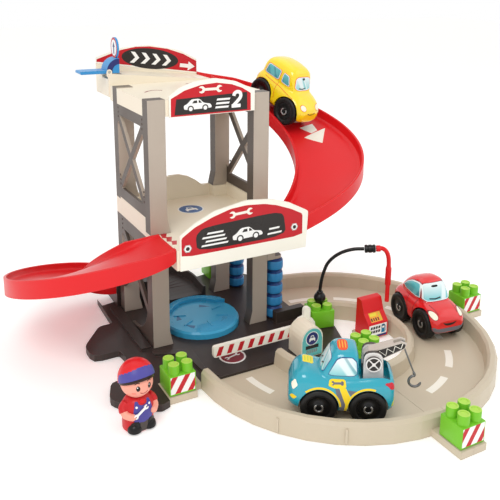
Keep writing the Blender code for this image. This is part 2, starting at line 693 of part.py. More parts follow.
# Decks
def deck_1():
    """Lower deck: tower floor with raised borders, an arched rear wall and the front lane."""
    under = DECK_1_TOP - DECK_PLATE
    floor = block(-HALF_W, HALF_W, -HALF_D, HALF_D, under, DECK_1_TOP)
    lane = block(FRONT_LANE_LEFT, FRONT_LANE_RIGHT, LANE_FRONT, -HALF_D, DECK_1_TOP - FASCIA_DROP,
                 DECK_1_TOP)
    pocket = block(FRONT_LANE_LEFT + SHELL, FRONT_LANE_RIGHT - SHELL, LANE_FRONT + SHELL, -HALF_D - SHELL,
                   DECK_1_TOP - FASCIA_DROP - 0.001, DECK_1_TOP - SHELL)
    lane = cut(lane, pocket)
    deck = fuse(floor, lane, block(FRONT_LANE_LEFT, HALF_W, -HALF_D - SHELL, -HALF_D + SHELL, under,
                                   DECK_1_TOP))
    top = DECK_1_TOP + BORDER_HEIGHT
    column_end = HALF_D - COLUMN_DEPTH
    for side in (-1, 1):
        x0, x1 = sorted((side * HALF_W, side * (HALF_W - BORDER_THICKNESS)))
        deck = fuse(deck, block(x0, x1, -column_end + GAP, column_end - GAP, under + 0.001, top))
        x0, x1 = sorted((side * HALF_W, side * (HALF_W - COLUMN_WIDTH - FOOT_FLARE)))
        deck = fuse(deck, block(x0, x1, column_end - 0.002, HALF_D, under + 0.001, DECK_1_TOP + REAR_KERB))
    arch_x = HALF_W - COLUMN_WIDTH - FOOT_FLARE
    kerb = DECK_1_TOP + REAR_KERB
    arch = [(arch_x, under + 0.001), (arch_x, kerb)]
    arch += [(x, kerb + 0.019 * (1 - ((x - 0.002) / 0.040) ** 2)) for x in
             [0.002 + 0.040 * math.cos(math.radians(a)) for a in range(0, 181, 20)]]
    arch += [(-arch_x, kerb), (-arch_x, under + 0.001)]
    deck = fuse(deck, prism(arch, HALF_D - BORDER_THICKNESS, HALF_D, "Y"))
    return node("deck_1", deck, "cream")


def start_lane_height(x):
    share = (x - START_LANE_LEFT) / (START_LANE_RIGHT - START_LANE_LEFT)
    return DECK_2_TOP + START_LANE_RISE * (1 - share)


def deck_2():
    """Upper deck and, behind it, the sloping start lane with its rear wall and lever bay."""
    under = DECK_2_TOP - DECK_2_APRON
    notch_x = HALF_W - COLUMN_WIDTH - GAP
    notch_y = HALF_D - COLUMN_DEPTH - GAP
    floor = fuse(block(-HALF_W, HALF_W, -HALF_D + GAP, HALF_D, under, DECK_2_TOP),
                 block(-HALF_W, START_LANE_RIGHT, HALF_D - 0.001, START_FRONT + 0.001, under, DECK_2_TOP))
    inset = fuse(block(-HALF_W + SHELL, HALF_W - SHELL, -HALF_D + SHELL, HALF_D - SHELL, under - 0.001,
                       DECK_2_TOP - SHELL),
                 block(-HALF_W + SHELL, START_LANE_RIGHT - SHELL, HALF_D - SHELL - 0.001,
                       START_FRONT - SHELL,
                       under - 0.001, DECK_2_TOP - SHELL))
    posts = [block(sx * notch_x if sx > 0 else -HALF_W - 0.001, HALF_W + 0.001 if sx > 0 else -notch_x,
                   sy * notch_y if sy > 0 else -HALF_D - 0.001, HALF_D + GAP if sy > 0 else -notch_y,
                   under - 0.001, DECK_2_TOP + 0.001) for sx in (-1, 1) for sy in (-1, 1)]
    sleeves = [block(sx * (notch_x - SHELL) if sx > 0 else -HALF_W, HALF_W if sx > 0 else -notch_x + SHELL,
                     sy * (notch_y - SHELL) if sy > 0 else -HALF_D,
                     HALF_D + SHELL if sy > 0 else -notch_y + SHELL,
                     under - 0.002, DECK_2_TOP - 0.002) for sx in (-1, 1) for sy in (-1, 1)]
    inset = cut(inset, *sleeves)
    deck = cut(floor, inset)
    lane_outline = [(START_LANE_LEFT, START_LANE_BOTTOM), (START_LANE_RIGHT, START_LANE_BOTTOM),
                    (START_LANE_RIGHT, start_lane_height(START_LANE_RIGHT)),
                    (START_LANE_LEFT, start_lane_height(START_LANE_LEFT))]
    lane = prism(lane_outline, START_FRONT, START_REAR, "Y")
    hollow = [(START_LANE_LEFT + SHELL, START_LANE_BOTTOM - 0.001),
              (START_LANE_RIGHT - SHELL, START_LANE_BOTTOM - 0.001),
              (START_LANE_RIGHT - SHELL, DECK_2_TOP - SHELL), (LEVER_X + 0.024, DECK_2_TOP - SHELL),
              (START_LANE_LEFT + SHELL, DECK_2_TOP - SHELL)]
    lane = cut(lane, prism(hollow, START_FRONT + SHELL, START_REAR - SHELL, "Y"))
    deck = fuse(deck, lane)
    deck = cut(deck, *posts)
    wall = [(START_LANE_LEFT, DECK_2_TOP - 0.004), (START_LANE_RIGHT, DECK_2_TOP - 0.004),
            (START_LANE_RIGHT, DECK_2_TOP + 0.0015), (START_LANE_LEFT,
                                                      start_lane_height(START_LANE_LEFT) + 0.008)]
    deck = fuse(deck, prism(wall, START_REAR - START_WALL, START_REAR, "Y"))
    bay = block(START_LANE_LEFT - 0.001, LEVER_X + 0.0185, LEVER_Y - LEVER_WIDTH / 2 - RUNNING_GAP,
                LEVER_Y + LEVER_WIDTH / 2 + RUNNING_GAP, LEVER_Z - 0.009, LEVER_Z + 0.01)
    deck = cut(deck, bay)
    cheek = LEVER_WIDTH / 2 + RUNNING_GAP
    ears = [prism(arc(LEVER_X, LEVER_Z, 0.0035, 0, 180, 6) + [(LEVER_X - 0.0035, LEVER_Z - 0.006),
                                                              (LEVER_X + 0.0035, LEVER_Z - 0.006)],
                  *sorted((LEVER_Y + s * cheek, LEVER_Y + s * (cheek + 0.0015))), "Y") for s in (-1, 1)]
    deck = fuse(deck, *ears)
    bore = rod(LEVER_PIN_RADIUS + GAP, LEVER_Y - cheek - 0.003, LEVER_Y + cheek + 0.003, LEVER_X, LEVER_Z,
               "Y", 10)
    deck = cut(deck, bore)
    return node("deck_2", deck, "cream")


# Signs
def sign(name, corners, y):
    """A thin board with a domed top; corners as (x, z, radius), facing -Y, its back at y."""
    return node(name, prism(rounded(corners, 2), y - SIGN_THICKNESS, y, "Y"), "cream")


def signs():
    bottom = DECK_1_TOP - FASCIA_DROP
    front = LANE_FRONT - GAP
    sign("sign_panel_lower", [(-0.066, bottom, 0), (0.098, bottom, 0), (0.1005, 0.175, 0.004),
                              (0.074, 0.189, 0.010),
                              (0.051, 0.1965, 0.02), (0.017, 0.200, 0.03), (-0.024, 0.193, 0.02),
                              (-0.048, 0.182, 0.02), (-0.066, 0.170, 0.002)], front)
    low = DECK_2_TOP - DECK_2_APRON - 0.001
    sign("sign_panel_upper", [(-0.053, low, 0), (0.0568, low, 0), (0.0568, 0.317, 0.003),
                              (0.031, 0.329, 0.02),
                              (0.004, 0.334, 0.02), (-0.023, 0.331, 0.02), (-0.040, 0.325, 0.015),
                              (-0.053, 0.316, 0.002)], -HALF_D - 0.0002)
    sign("sign_panel_start", [(START_LANE_LEFT, 0.3355, 0), (START_LANE_RIGHT, 0.3135, 0),
                              (0.066, 0.334, 0.002),
                              (0.040, 0.3475, 0.02), (-0.004, 0.3565, 0.04), (-0.045, 0.354, 0.03),
                              (START_LANE_LEFT, 0.343, 0.001)], START_REAR)


# Slides
def slide_rings(edges, heights, rims, skirt):
    """Cross-sections of a trough between an inner and an outer edge line."""
    rings = []
    for (inner, outer), z, (inner_rim, outer_rim) in zip(edges, heights, rims):
        inner, outer = Vector(inner), Vector(outer)
        width = (outer - inner).length
        across = (outer - inner) / width
        wall = SLIDE_WALL
        floor = SLIDE_WALL
        section = [(0, inner_rim), (wall * 0.5, inner_rim + 0.0006), (wall, inner_rim),
                   (wall + 0.0015, 0.0015),
                   (wall + 0.006, 0), (width - wall - 0.007, 0), (width - wall - 0.0015, 0.002),
                   (width - wall, outer_rim), (width - wall * 0.5, outer_rim + 0.0008), (width, outer_rim),
                   (width, -skirt), (width - wall, -skirt), (width - wall - 0.001, -floor),
                   (wall + 0.001, -floor), (wall, -skirt), (0, -skirt)]
        rings.append([(inner.x + across.x * a, inner.y + across.y * a, z + h) for a, h in section])
    return rings


def slide_edges(t, start_x, end_x, start_y, end_y, reach, inner_reach, powers, swell):
    """Inner and outer edge of a half-turn slide at t from 0 to 1; reach is signed along X."""
    x = start_x + (end_x - start_x) * t * t * (3 - 2 * t)
    half = LANE_WIDTH / 2 - SLIDE_SIDE_GAP
    middle = (start_y + end_y) / 2
    radius = (start_y - end_y) / 2
    side = math.copysign(1, radius)
    wave = math.sin(math.pi * t)
    turn = math.cos(math.pi * t)
    outer_y = middle + (radius + side * (half + swell[0] * wave)) * turn
    inner_y = middle + (radius - side * (half + swell[1] * wave)) * turn
    outer_x = x + reach * wave ** powers[0]
    inner_x = x + inner_reach * wave ** powers[1]
    return (inner_x, inner_y), (outer_x, outer_y)


def upper_slide_point(t, across):
    """A point of the upper slide's floor, across from 0 at the inner edge to 1 at the outer."""
    start_y = (START_FRONT + START_REAR) / 2
    end_y = LANE_FRONT + LANE_WIDTH / 2
    inner, outer = slide_edges(t, START_LANE_RIGHT + GAP, FRONT_LANE_RIGHT + GAP, start_y, end_y,
                               UPPER_SLIDE_REACH, UPPER_SLIDE_INNER_REACH, (1.25, 1.15), (0.030, 0.010))
    height = DECK_2_TOP + (DECK_1_TOP - DECK_2_TOP) * (t - 0.1 * math.sin(2 * math.pi * t) / (2 * math.pi))
    return Vector((*inner, height)).lerp(Vector((*outer, height)), across)


def lower_slide_point(t, across):
    start_y = LANE_FRONT + LANE_WIDTH / 2
    inner, outer = slide_edges(t, FRONT_LANE_LEFT - GAP, LOWER_SLIDE_END_X, start_y, LOWER_SLIDE_END_Y,
                               -LOWER_SLIDE_REACH, -LOWER_SLIDE_INNER_REACH, (1.3, 0.55), (0.040, 0.0))
    drop = LOWER_SLIDE_END_Z - DECK_1_TOP
    height = DECK_1_TOP + drop * (t - 0.3 * math.sin(2 * math.pi * t) / (2 * math.pi))
    return Vector((*inner, height)).lerp(Vector((*outer, height)), across)


def slide_node(name, point, inner_rim, outer_rim, skirt, start_rim):
    edges, heights, rims = [], [], []
    for i in range(SLIDE_STEPS + 1):
        t = i / SLIDE_STEPS
        inner, outer = point(t, 0), point(t, 1)
        edges.append((inner.xy, outer.xy))
        heights.append(inner.z)
        grow = min(1.0, start_rim + (1 - start_rim) * t / 0.15)
        rims.append((inner_rim * grow, outer_rim * grow))
    return node(name, solid(slide_rings(edges, heights, rims, skirt)), "red")


# Start lever
def start_lever():
    low, high = LEVER_Y - LEVER_WIDTH / 2, LEVER_Y + LEVER_WIDTH / 2
    half = LEVER_TAB_THICKNESS / 2
    tab = prism(rounded([(LEVER_X + LEVER_STEP, LEVER_Z - half, 0),
                         (LEVER_X + LEVER_STEP, LEVER_Z + half, 0),
                         (LEVER_X - LEVER_TAB, LEVER_Z + half, 0.002),
                         (LEVER_X - LEVER_TAB, LEVER_Z - half, 0.002)],
                        2), low, high, "Y")
    quarter = [(LEVER_X + LEVER_STEP, LEVER_Z - half)]
    quarter += arc(LEVER_X + LEVER_STEP, LEVER_Z, LEVER_QUARTER, 90, 180, 8)
    lever = fuse(prism(quarter, low, high, "Y"), tab)
    disc = prism(circle(LEVER_Y, SIGN_DISC_Z, SIGN_DISC_RADIUS, 18), LEVER_X + LEVER_STEP - SIGN_THICKNESS,
                 LEVER_X + LEVER_STEP, "X")
    lever = fuse(lever, disc, rod(0.0035, low, high, LEVER_X, LEVER_Z, "Y", 14))
    lever = cut(lever, rod(LEVER_PIN_RADIUS + GAP, low - 0.001, high + 0.001, LEVER_X, LEVER_Z, "Y", 10))
    centre = (LEVER_X, LEVER_Y, LEVER_Z)
    node("start_lever", lever, "turntable_blue", centre, pivot("lever_axis", centre))
    reach = LEVER_WIDTH / 2 + RUNNING_GAP + 0.0015
    node("start_lever_pin", rod(LEVER_PIN_RADIUS, LEVER_Y - reach, LEVER_Y + reach, LEVER_X, LEVER_Z, "Y",
                                10),
         "silver")


# Turntable
def turntable():
    centre = (TURNTABLE_X, TURNTABLE_Y, 0.0053)
    low = 0.005 + GAP
    disc = turned([(TURNTABLE_RADIUS, low), (TURNTABLE_RADIUS, TURNTABLE_TOP - 0.003),
                   (TURNTABLE_RADIUS - 0.002, TURNTABLE_TOP - 0.0005), (0.036, TURNTABLE_TOP)], 28,
                  TURNTABLE_X, TURNTABLE_Y)
    rear = arc(TURNTABLE_X, TURNTABLE_Y, TURNTABLE_RADIUS - 0.0005, 25, 155, 9)
    rear += arc(TURNTABLE_X, TURNTABLE_Y + 0.006, TURNTABLE_RADIUS - 0.013, 150, 30, 7)
    disc = fuse(disc, prism(rear, TURNTABLE_TOP - 0.004, TURNTABLE_TOP + TURNTABLE_RIM))
    for angle in (-150, -90, -30, 20, 160):
        rib = block(0.020, 0.036, -0.0012, 0.0012, TURNTABLE_TOP - 0.002, TURNTABLE_TOP + 0.0012)
        disc = fuse(disc, move(rib, Matrix.Translation((TURNTABLE_X, TURNTABLE_Y, 0))
                               @ Matrix.Rotation(math.radians(angle), 4, "Z")))
    disc = cut(disc, rod(TURNTABLE_PIVOT_RADIUS + RUNNING_GAP, 0, 0.0144, TURNTABLE_X, TURNTABLE_Y,
                         steps=12))
    node("turntable", disc, "turntable_blue", centre, pivot("turntable_axis", centre))


# Wash rollers
def wash_rollers():
    rib = (ROLLER_TOP - ROLLER_BOTTOM) / ROLLER_RIBS
    for side, where in ((-1, "front"), (1, "rear")):
        y = side * ROLLER_Y
        profile = []
        for i in range(ROLLER_RIBS):
            base = ROLLER_BOTTOM + i * rib
            for share, radius in ((0.0, 0.76), (0.28, 1.0), (0.72, 1.0)):
                profile.append((ROLLER_RADIUS * radius, base + rib * share))
        profile.append((ROLLER_RADIUS * 0.76, ROLLER_TOP))
        roller = turned(profile, 10, ROLLER_X, y)
        bore = ROLLER_PIN_RADIUS + RUNNING_GAP
        roller = cut(roller, rod(bore, 0, BASE_TOP + 0.0065, ROLLER_X, y, steps=8),
                     rod(bore, ROLLER_TOP - 0.0065, ROLLER_TOP + 0.01, ROLLER_X, y, steps=8))
        centre = (ROLLER_X, y, ROLLER_BOTTOM)
        node(f"wash_roller_{where}", roller, "roller_blue", centre, pivot(f"roller_axis_{where}", centre))
        low = ROLLER_TOP + RUNNING_GAP
        near = HALF_W + GAP
        plate = prism(rounded([(near, y - 0.008, 0), (ROLLER_X + 0.008, y - 0.008, 0.006),
                               (ROLLER_X + 0.008, y + 0.008, 0.006), (near, y + 0.008, 0)], 3),
                      low, low + BRACKET_THICKNESS)
        flange = block(near, near + 0.003, y - 0.008, y + 0.008, low, low + 0.016)
        loop = cut(prism(rounded([(y - 0.008, low, 0), (y + 0.008, low, 0), (y + 0.008, low + 0.016, 0.006),
                                  (y - 0.008, low + 0.016, 0.006)], 3), near, near + 0.0115, "X"),
                   prism(rounded([(y - 0.005, low + BRACKET_THICKNESS - 0.0005, 0),
                                  (y + 0.005, low + BRACKET_THICKNESS - 0.0005, 0), (y + 0.005,
                                                                                     low + 0.013, 0.004),
                                  (y - 0.005, low + 0.013, 0.004)], 3), near + 0.003, near + 0.02, "X"))
        bracket = fuse(plate, flange, loop, rod(ROLLER_PIN_RADIUS, ROLLER_TOP - 0.006, low + 0.001,
                                                ROLLER_X, y, steps=8))
        node(f"roller_bracket_{where}", bracket, "taupe")


# Ticket booth and barrier
def booth_and_barrier():
    half = BOOTH_WIDTH / 2
    low = BASE_TOP + GAP
    outline = [(BOOTH_X - half, low), (BOOTH_X + half, low)]
    outline += arc(BOOTH_X, low + BOOTH_HEIGHT - half, half, 0, 180, 10)
    rear = BOOTH_FRONT + BOOTH_DEPTH
    booth = prism(outline, BOOTH_FRONT, rear, "Y")
    slot = block(BOOTH_X - 0.007, BOOTH_X + 0.007, BOOTH_FRONT - 0.001, BOOTH_FRONT + 0.003, 0.0205, 0.0225)
    booth = cut(booth, slot)
    arm_front = rear + RUNNING_GAP
    arm_rear = arm_front + BARRIER_THICKNESS
    pin = rod(BARRIER_PIN_RADIUS, rear - 0.004, arm_rear + 0.0005, BARRIER_X, BARRIER_Z, "Y", 14)
    booth = fuse(booth, pin)
    node("ticket_booth", booth, "cream")
    half_arm = BARRIER_HEIGHT / 2
    arm = prism(rounded([(BARRIER_X, BARRIER_Z - half_arm, 0), (BARRIER_X, BARRIER_Z + half_arm, 0),
                         (BARRIER_X - BARRIER_REACH, BARRIER_Z + half_arm, 0.003),
                         (BARRIER_X - BARRIER_REACH, BARRIER_Z - half_arm, 0.003)], 2), arm_front,
                         arm_rear, "Y")
    hub = rod(BARRIER_HUB_RADIUS, arm_front, arm_rear, BARRIER_X, BARRIER_Z, "Y", 16)
    tab_half = BARRIER_TAB_WIDTH / 2
    tab = prism(rounded([(BARRIER_X - tab_half + 0.004, BARRIER_Z, 0),
                         (BARRIER_X + tab_half + 0.004, BARRIER_Z, 0),
                         (BARRIER_X + tab_half + 0.004, BARRIER_Z + BARRIER_TAB_TOP, 0.004),
                         (BARRIER_X - tab_half + 0.004, BARRIER_Z + BARRIER_TAB_TOP, 0.004)], 3),
                arm_front, arm_rear, "Y")
    arm = fuse(arm, hub, tab)
    arm = cut(arm, rod(BARRIER_PIN_RADIUS + RUNNING_GAP, arm_front - 0.001, arm_rear + 0.001, BARRIER_X,
                       BARRIER_Z, "Y", 14))
    centre = (BARRIER_X, arm_front, BARRIER_Z)
    node("barrier_arm", arm, "cream", centre, pivot("barrier_axis", centre))


# Fuel pump and hose arm
def fuel_pump():
    x0, x1 = PUMP_X - PUMP_WIDTH / 2, PUMP_X + PUMP_WIDTH / 2
    y0, y1 = PUMP_FRONT, PUMP_FRONT + PUMP_DEPTH
    low = PUMP_FOOT + GAP
    side = rounded([(y0, low, 0), (y1, low, 0), (y1 - 0.001, low + PUMP_HEIGHT, 0.002),
                    (y1 - 0.011, low + PUMP_HEIGHT - 0.001, 0.002), (y0 + 0.010, low + 0.031, 0.002),
                    (y0, low + PUMP_FRONT_HEIGHT, 0.001)], 2)
    body = prism(side, x0, x1, "X")
    screen = block(x0 + 0.006, x1 - 0.006, -0.0065, 0.0065, -0.0012, 0.003)
    slope = math.atan2(0.011, 0.010)
    move(screen, Matrix.Translation((0, y0 + 0.0055, low + 0.0262)) @ Matrix.Rotation(slope, 4, "X"))
    body = cut(body, screen)
    node("fuel_pump", body, "red")


def hose_arm():
    """A springy moulded arch from the ball plug to the nozzle, which hangs beside the pump."""
    ball = Vector((CENTRE_BRICK_X, CENTRE_BRICK_Y, HOSE_Z))
    centre = tuple(ball)
    axis = pivot("hose_axis", centre)
    low = math.degrees(math.acos(HOSE_STEM_RADIUS / HOSE_BALL_RADIUS))
    high = math.degrees(math.acos(HOSE_NECK_RADIUS / HOSE_BALL_RADIUS))
    profile = [(HOSE_STEM_RADIUS, CENTRE_BRICK_TOP + GAP)]
    profile += arc(0, HOSE_Z, HOSE_BALL_RADIUS, -low, high, 5)
    profile += [(HOSE_NECK_RADIUS, HOSE_Z + HOSE_NECK_TOP)]
    node("hose_plug", turned(profile, 14, ball.x, ball.y), "black", centre, axis)
    start = ball + Vector((0, 0, HOSE_NECK_TOP + GAP))
    path = smooth_path([start, *[Vector(p) for p in HOSE_ROUTE]], 14)
    node("hose_tube", tube(path, HOSE_RADIUS, 8), "black", centre, axis)
    end, before = path[-1], path[-2]
    along = (end - before).normalized()
    first = end + along * GAP
    coupler = tube([first, first + along * COUPLER_LENGTH], COUPLER_RADIUS, 12)
    node("hose_coupler", coupler, "black", centre, axis)
    nozzle_start = first + along * (COUPLER_LENGTH + GAP)
    route = [nozzle_start + along * 0.002, nozzle_start + along * 0.008, *[Vector(p) for p in NOZZLE_ROUTE]]
    points = smooth_path(route, 12)
    radii = []
    for p in points:
        grip = NOZZLE_GRIP_TOP > p.z > NOZZLE_GRIP_BOTTOM
        radii.append(NOZZLE_GRIP_RADIUS if grip else NOZZLE_RADIUS)
    collar = tube([nozzle_start, nozzle_start + along * 0.006], COUPLER_RADIUS * 0.78, 12)
    node("fuel_nozzle", fuse(tube(points, radii, 8), collar), "red", centre, axis)


def smooth_path(points, count):
    """A Catmull-Rom curve through the points, sampled evenly by knots."""
    knots = [2 * points[0] - points[1], *points, 2 * points[-1] - points[-2]]
    spans = len(points) - 1
    result = []
    for i in range(count + 1):
        s = i / count * spans
        k = min(int(s), spans - 1)
        t = s - k
        a, b, c, d = knots[k:k + 4]
        result.append(0.5 * ((2 * b) + (c - a) * t + (2 * a - 5 * b + 4 * c - d) * t * t
                             + (3 * b - a - 3 * c + d) * t ** 3))
    return result


def tube(points, radius, sides):
    """A round tube along points, with a radius for all or one for each."""
    radii = radius if isinstance(radius, list) else [radius] * len(points)
    rings = []
    normal = None
    for i, p in enumerate(points):
        ahead = points[min(i + 1, len(points) - 1)]
        behind = points[max(i - 1, 0)]
        along = (ahead - behind).normalized()
        if normal is None:
            normal = along.orthogonal().normalized()
        normal = (normal - along * normal.dot(along)).normalized()
        other = along.cross(normal)
        rings.append([p + normal * radii[i] * a + other * radii[i] * b for a, b in circle(0, 0, 1, sides)])
    return solid(rings)


# Vehicles, each in its own frame: +X forward, ground at z 0
def loft(stations, sides=12):
    """A body through stations (x, half width, low, high, squareness)."""
    rings = []
    for x, half, low, high, square in stations:
        middle, tall = (low + high) / 2, (high - low) / 2
        ring = []
        for k in range(sides):
            a = 2 * math.pi * (k + 0.5) / sides
            c, s = math.cos(a), math.sin(a)
            ring.append((x, half * math.copysign(abs(c) ** (2 / square), c),
                         middle + tall * math.copysign(abs(s) ** (2 / square), s)))
        rings.append(ring)
    return solid(rings)


def wheelset(x):
    """Two tyred wheels pressed on one axle, turned about the Y axis."""
    half = TRACK / 2
    inner, outer = half - WHEEL_WIDTH / 2, half + WHEEL_WIDTH / 2
    side = [(HUB_RADIUS, outer - 0.002), (HUB_RADIUS + 0.0015, outer), (WHEEL_RADIUS - 0.0025, outer),
            (WHEEL_RADIUS, outer - 0.003), (WHEEL_RADIUS, inner + 0.001), (AXLE_RADIUS, inner)]
    profile = side + [(r, -z) for r, z in reversed(side)]
    wheels = turned(profile, 12)
    move(wheels, Matrix.Translation((x, 0, WHEEL_RADIUS)) @ Matrix.Rotation(math.radians(90), 4, "X"))
    return wheels


def chassis(length):
    """The floor pan with two bearing blocks that carry the axles."""
    half = CHASSIS_WIDTH / 2
    pan = prism(rounded([(-length / 2, -half, 0.004), (length / 2, -half, 0.004), (length / 2, half, 0.004),
                         (-length / 2, half, 0.004)], 1), CHASSIS_BOTTOM, CHASSIS_TOP)
    for x in (-WHEELBASE / 2, WHEELBASE / 2):
        pan = fuse(pan, block(x - 0.005, x + 0.005, -0.010, 0.010, CHASSIS_BOTTOM + 0.001,
                              WHEEL_RADIUS + 0.005))
    for x in (-WHEELBASE / 2, WHEELBASE / 2):
        pan = cut(pan, rod(AXLE_RADIUS + AXLE_CLEARANCE, -0.02, 0.02, x, WHEEL_RADIUS, "Y", 10))
    return pan


def hollow_body(body, length):
    """Wheel arches and a channel for the floor pan, cut from below."""
    for x in (-WHEELBASE / 2, WHEELBASE / 2):
        body = cut(body, rod(WHEEL_RADIUS + ARCH_CLEARANCE, -0.04, 0.04, x, WHEEL_RADIUS, "Y", 16))
    half = CHASSIS_WIDTH / 2 + GAP
    return cut(body, block(-length / 2 - GAP, length / 2 + GAP, -half, half, -0.01, CHASSIS_TOP + GAP))


def vehicle(name, body, colour, place, pan_length):
    """Body, floor pan and two wheelsets, placed by one matrix."""
    root = pivot(f"{name}_place", place.translation)
    body = hollow_body(body, pan_length)
    node(f"{name}_body", move(body, place), colour, place.translation, root)
    node(f"{name}_chassis", move(chassis(pan_length), place), "grey", place.translation, root)
    for where, x in (("rear", -WHEELBASE / 2), ("front", WHEELBASE / 2)):
        centre = place @ Vector((x, 0, WHEEL_RADIUS))
        axle = pivot(f"{name}_axle_{where}", centre)
        node(f"{name}_wheels_{where}", move(wheelset(x), place), "black", centre, axle)
    return root


def heading(x, y, z, degrees):
    return Matrix.Translation((x, y, z)) @ Matrix.Rotation(math.radians(degrees), 4, "Z")


def crane(place, root):
    """Winch housing on the truck's bed, a raking boom and a hook on its link."""
    x, z = CRANE_X, TRUCK_BED_FLOOR + GAP
    foot = turned([(0.010, z), (0.010, z + 0.003)], 18, x, 0)
    cheeks = prism(rounded([(x - 0.011, z + 0.002, 0), (x + 0.010, z + 0.002, 0),
                            (x + 0.010, z + 0.034, 0.009),
                            (x - 0.009, z + 0.034, 0.009)], 4), -CRANE_HALF, CRANE_HALF, "Y")
    slot = block(x - 0.03, x + 0.03, -0.0065, 0.0065, z + 0.012, z + 0.05)
    housing = cut(fuse(foot, cheeks), slot)
    pin = rod(0.002, -CRANE_HALF - 0.0005, CRANE_HALF - 0.0005, BOOM_X, BOOM_Z, "Y", 10)
    axle = rod(WINCH_PIN_RADIUS, CRANE_HALF - 0.002, CRANE_HALF + WINCH_WIDTH, x, WINCH_Z, "Y", 10)
    housing = fuse(housing, pin, axle)
    winch = rod(WINCH_RADIUS, CRANE_HALF + RUNNING_GAP, CRANE_HALF + RUNNING_GAP + WINCH_WIDTH, x, WINCH_Z,
                "Y", 14)
    winch = cut(winch, rod(WINCH_PIN_RADIUS + RUNNING_GAP, 0, 0.03, x, WINCH_Z, "Y", 10))
    for turn_by in (45, 135, 225, 315):
        cx = x + 0.0048 * math.cos(math.radians(turn_by))
        cz = WINCH_Z + 0.0048 * math.sin(math.radians(turn_by))
        winch = cut(winch, rod(0.0017, CRANE_HALF + WINCH_WIDTH - 0.001, 0.03, cx, cz, "Y", 6))
    node("crane_housing", move(housing, place), "grey", place @ Vector((x, 0, z)), root)
    centre = place @ Vector((x, CRANE_HALF, WINCH_Z))
    node("winch_wheel", move(winch, place), "cream", centre, pivot("winch_axis", centre))
    tip_x, tip_z = BOOM_X - BOOM_LENGTH * math.cos(BOOM_RAKE), BOOM_Z + BOOM_LENGTH * math.sin(BOOM_RAKE)
    ux, uz = math.cos(BOOM_RAKE), -math.sin(BOOM_RAKE)
    nx, nz = -uz, ux
    outline = [(BOOM_X + ux * 0.007 + nx * 0.005, BOOM_Z + uz * 0.007 + nz * 0.005),
               (BOOM_X + nx * 0.0075, BOOM_Z + nz * 0.0075), (tip_x + nx * 0.004, tip_z + nz * 0.004),
               (tip_x - ux * 0.004, tip_z - uz * 0.004), (tip_x - nx * 0.004, tip_z - nz * 0.004),
               (BOOM_X - nx * 0.0065, BOOM_Z - nz * 0.0065), (BOOM_X + ux * 0.007 - nx * 0.004,
                                                              BOOM_Z + uz * 0.007 - nz * 0.004)]
    boom = prism(outline, -0.006, 0.006, "Y")
    fork = block(-0.004, 0.012, -0.0028, 0.0028, -0.02, 0.02)
    move(fork, Matrix.Translation((tip_x, 0, tip_z)) @ Matrix.Rotation(BOOM_RAKE, 4,
                                                                       "Y") @ Matrix.Translation((-0.004,
                                                                                                  0, 0)))
    boom = cut(boom, fork)
    boom = cut(boom, rod(0.0024, -0.01, 0.01, BOOM_X, BOOM_Z, "Y", 12))
    for i in range(3):
        c = Vector((BOOM_X, 0, BOOM_Z)).lerp(Vector((tip_x, 0, tip_z)), 0.36 + 0.17 * i)
        pocket = prism([(c.x - 0.0022, c.z - 0.002), (c.x + 0.0022, c.z - 0.002), (c.x, c.z + 0.0024)],
                       -0.01, 0.01, "Y")
        boom = cut(boom, pocket)
    boom = fuse(boom, rod(0.0011, -0.004, 0.004, tip_x, tip_z, "Y", 8))
    centre = place @ Vector((BOOM_X, 0, BOOM_Z))
    node("crane_boom", move(boom, place), "grey", centre, pivot("boom_axis", centre))
    link_end = Vector((tip_x - HOOK_LEAN, 0, tip_z - HOOK_DROP))
    start = Vector((tip_x, 0, tip_z))
    along = (link_end - start).normalized()
    eye = rod(0.0028, -0.0018, 0.0018, tip_x, tip_z, "Y", 14)
    bar = tube([start + along * 0.0018, link_end], 0.0010, 6)
    sweep = [link_end + Vector((HOOK_RADIUS * math.sin(a), 0, HOOK_RADIUS * (math.cos(a) - 1)))
             for a in [math.radians(d) for d in range(0, 261, 29)]]
    hook = tube(sweep, 0.0014, 6)
    link = fuse(eye, bar, hook)
    link = cut(link, rod(0.0015, -0.005, 0.005, tip_x, tip_z, "Y", 8))
    centre = place @ start
    node("crane_hook", move(link, place), "silver", centre, pivot("hook_axis", centre))


def truck_body():
    body = fuse(loft(TRUCK_BODY), loft(TRUCK_CABIN))
    bed = block(-0.0465, -0.0155, -0.019, 0.019, TRUCK_BED_FLOOR, 0.08)
    return cut(body, bed)


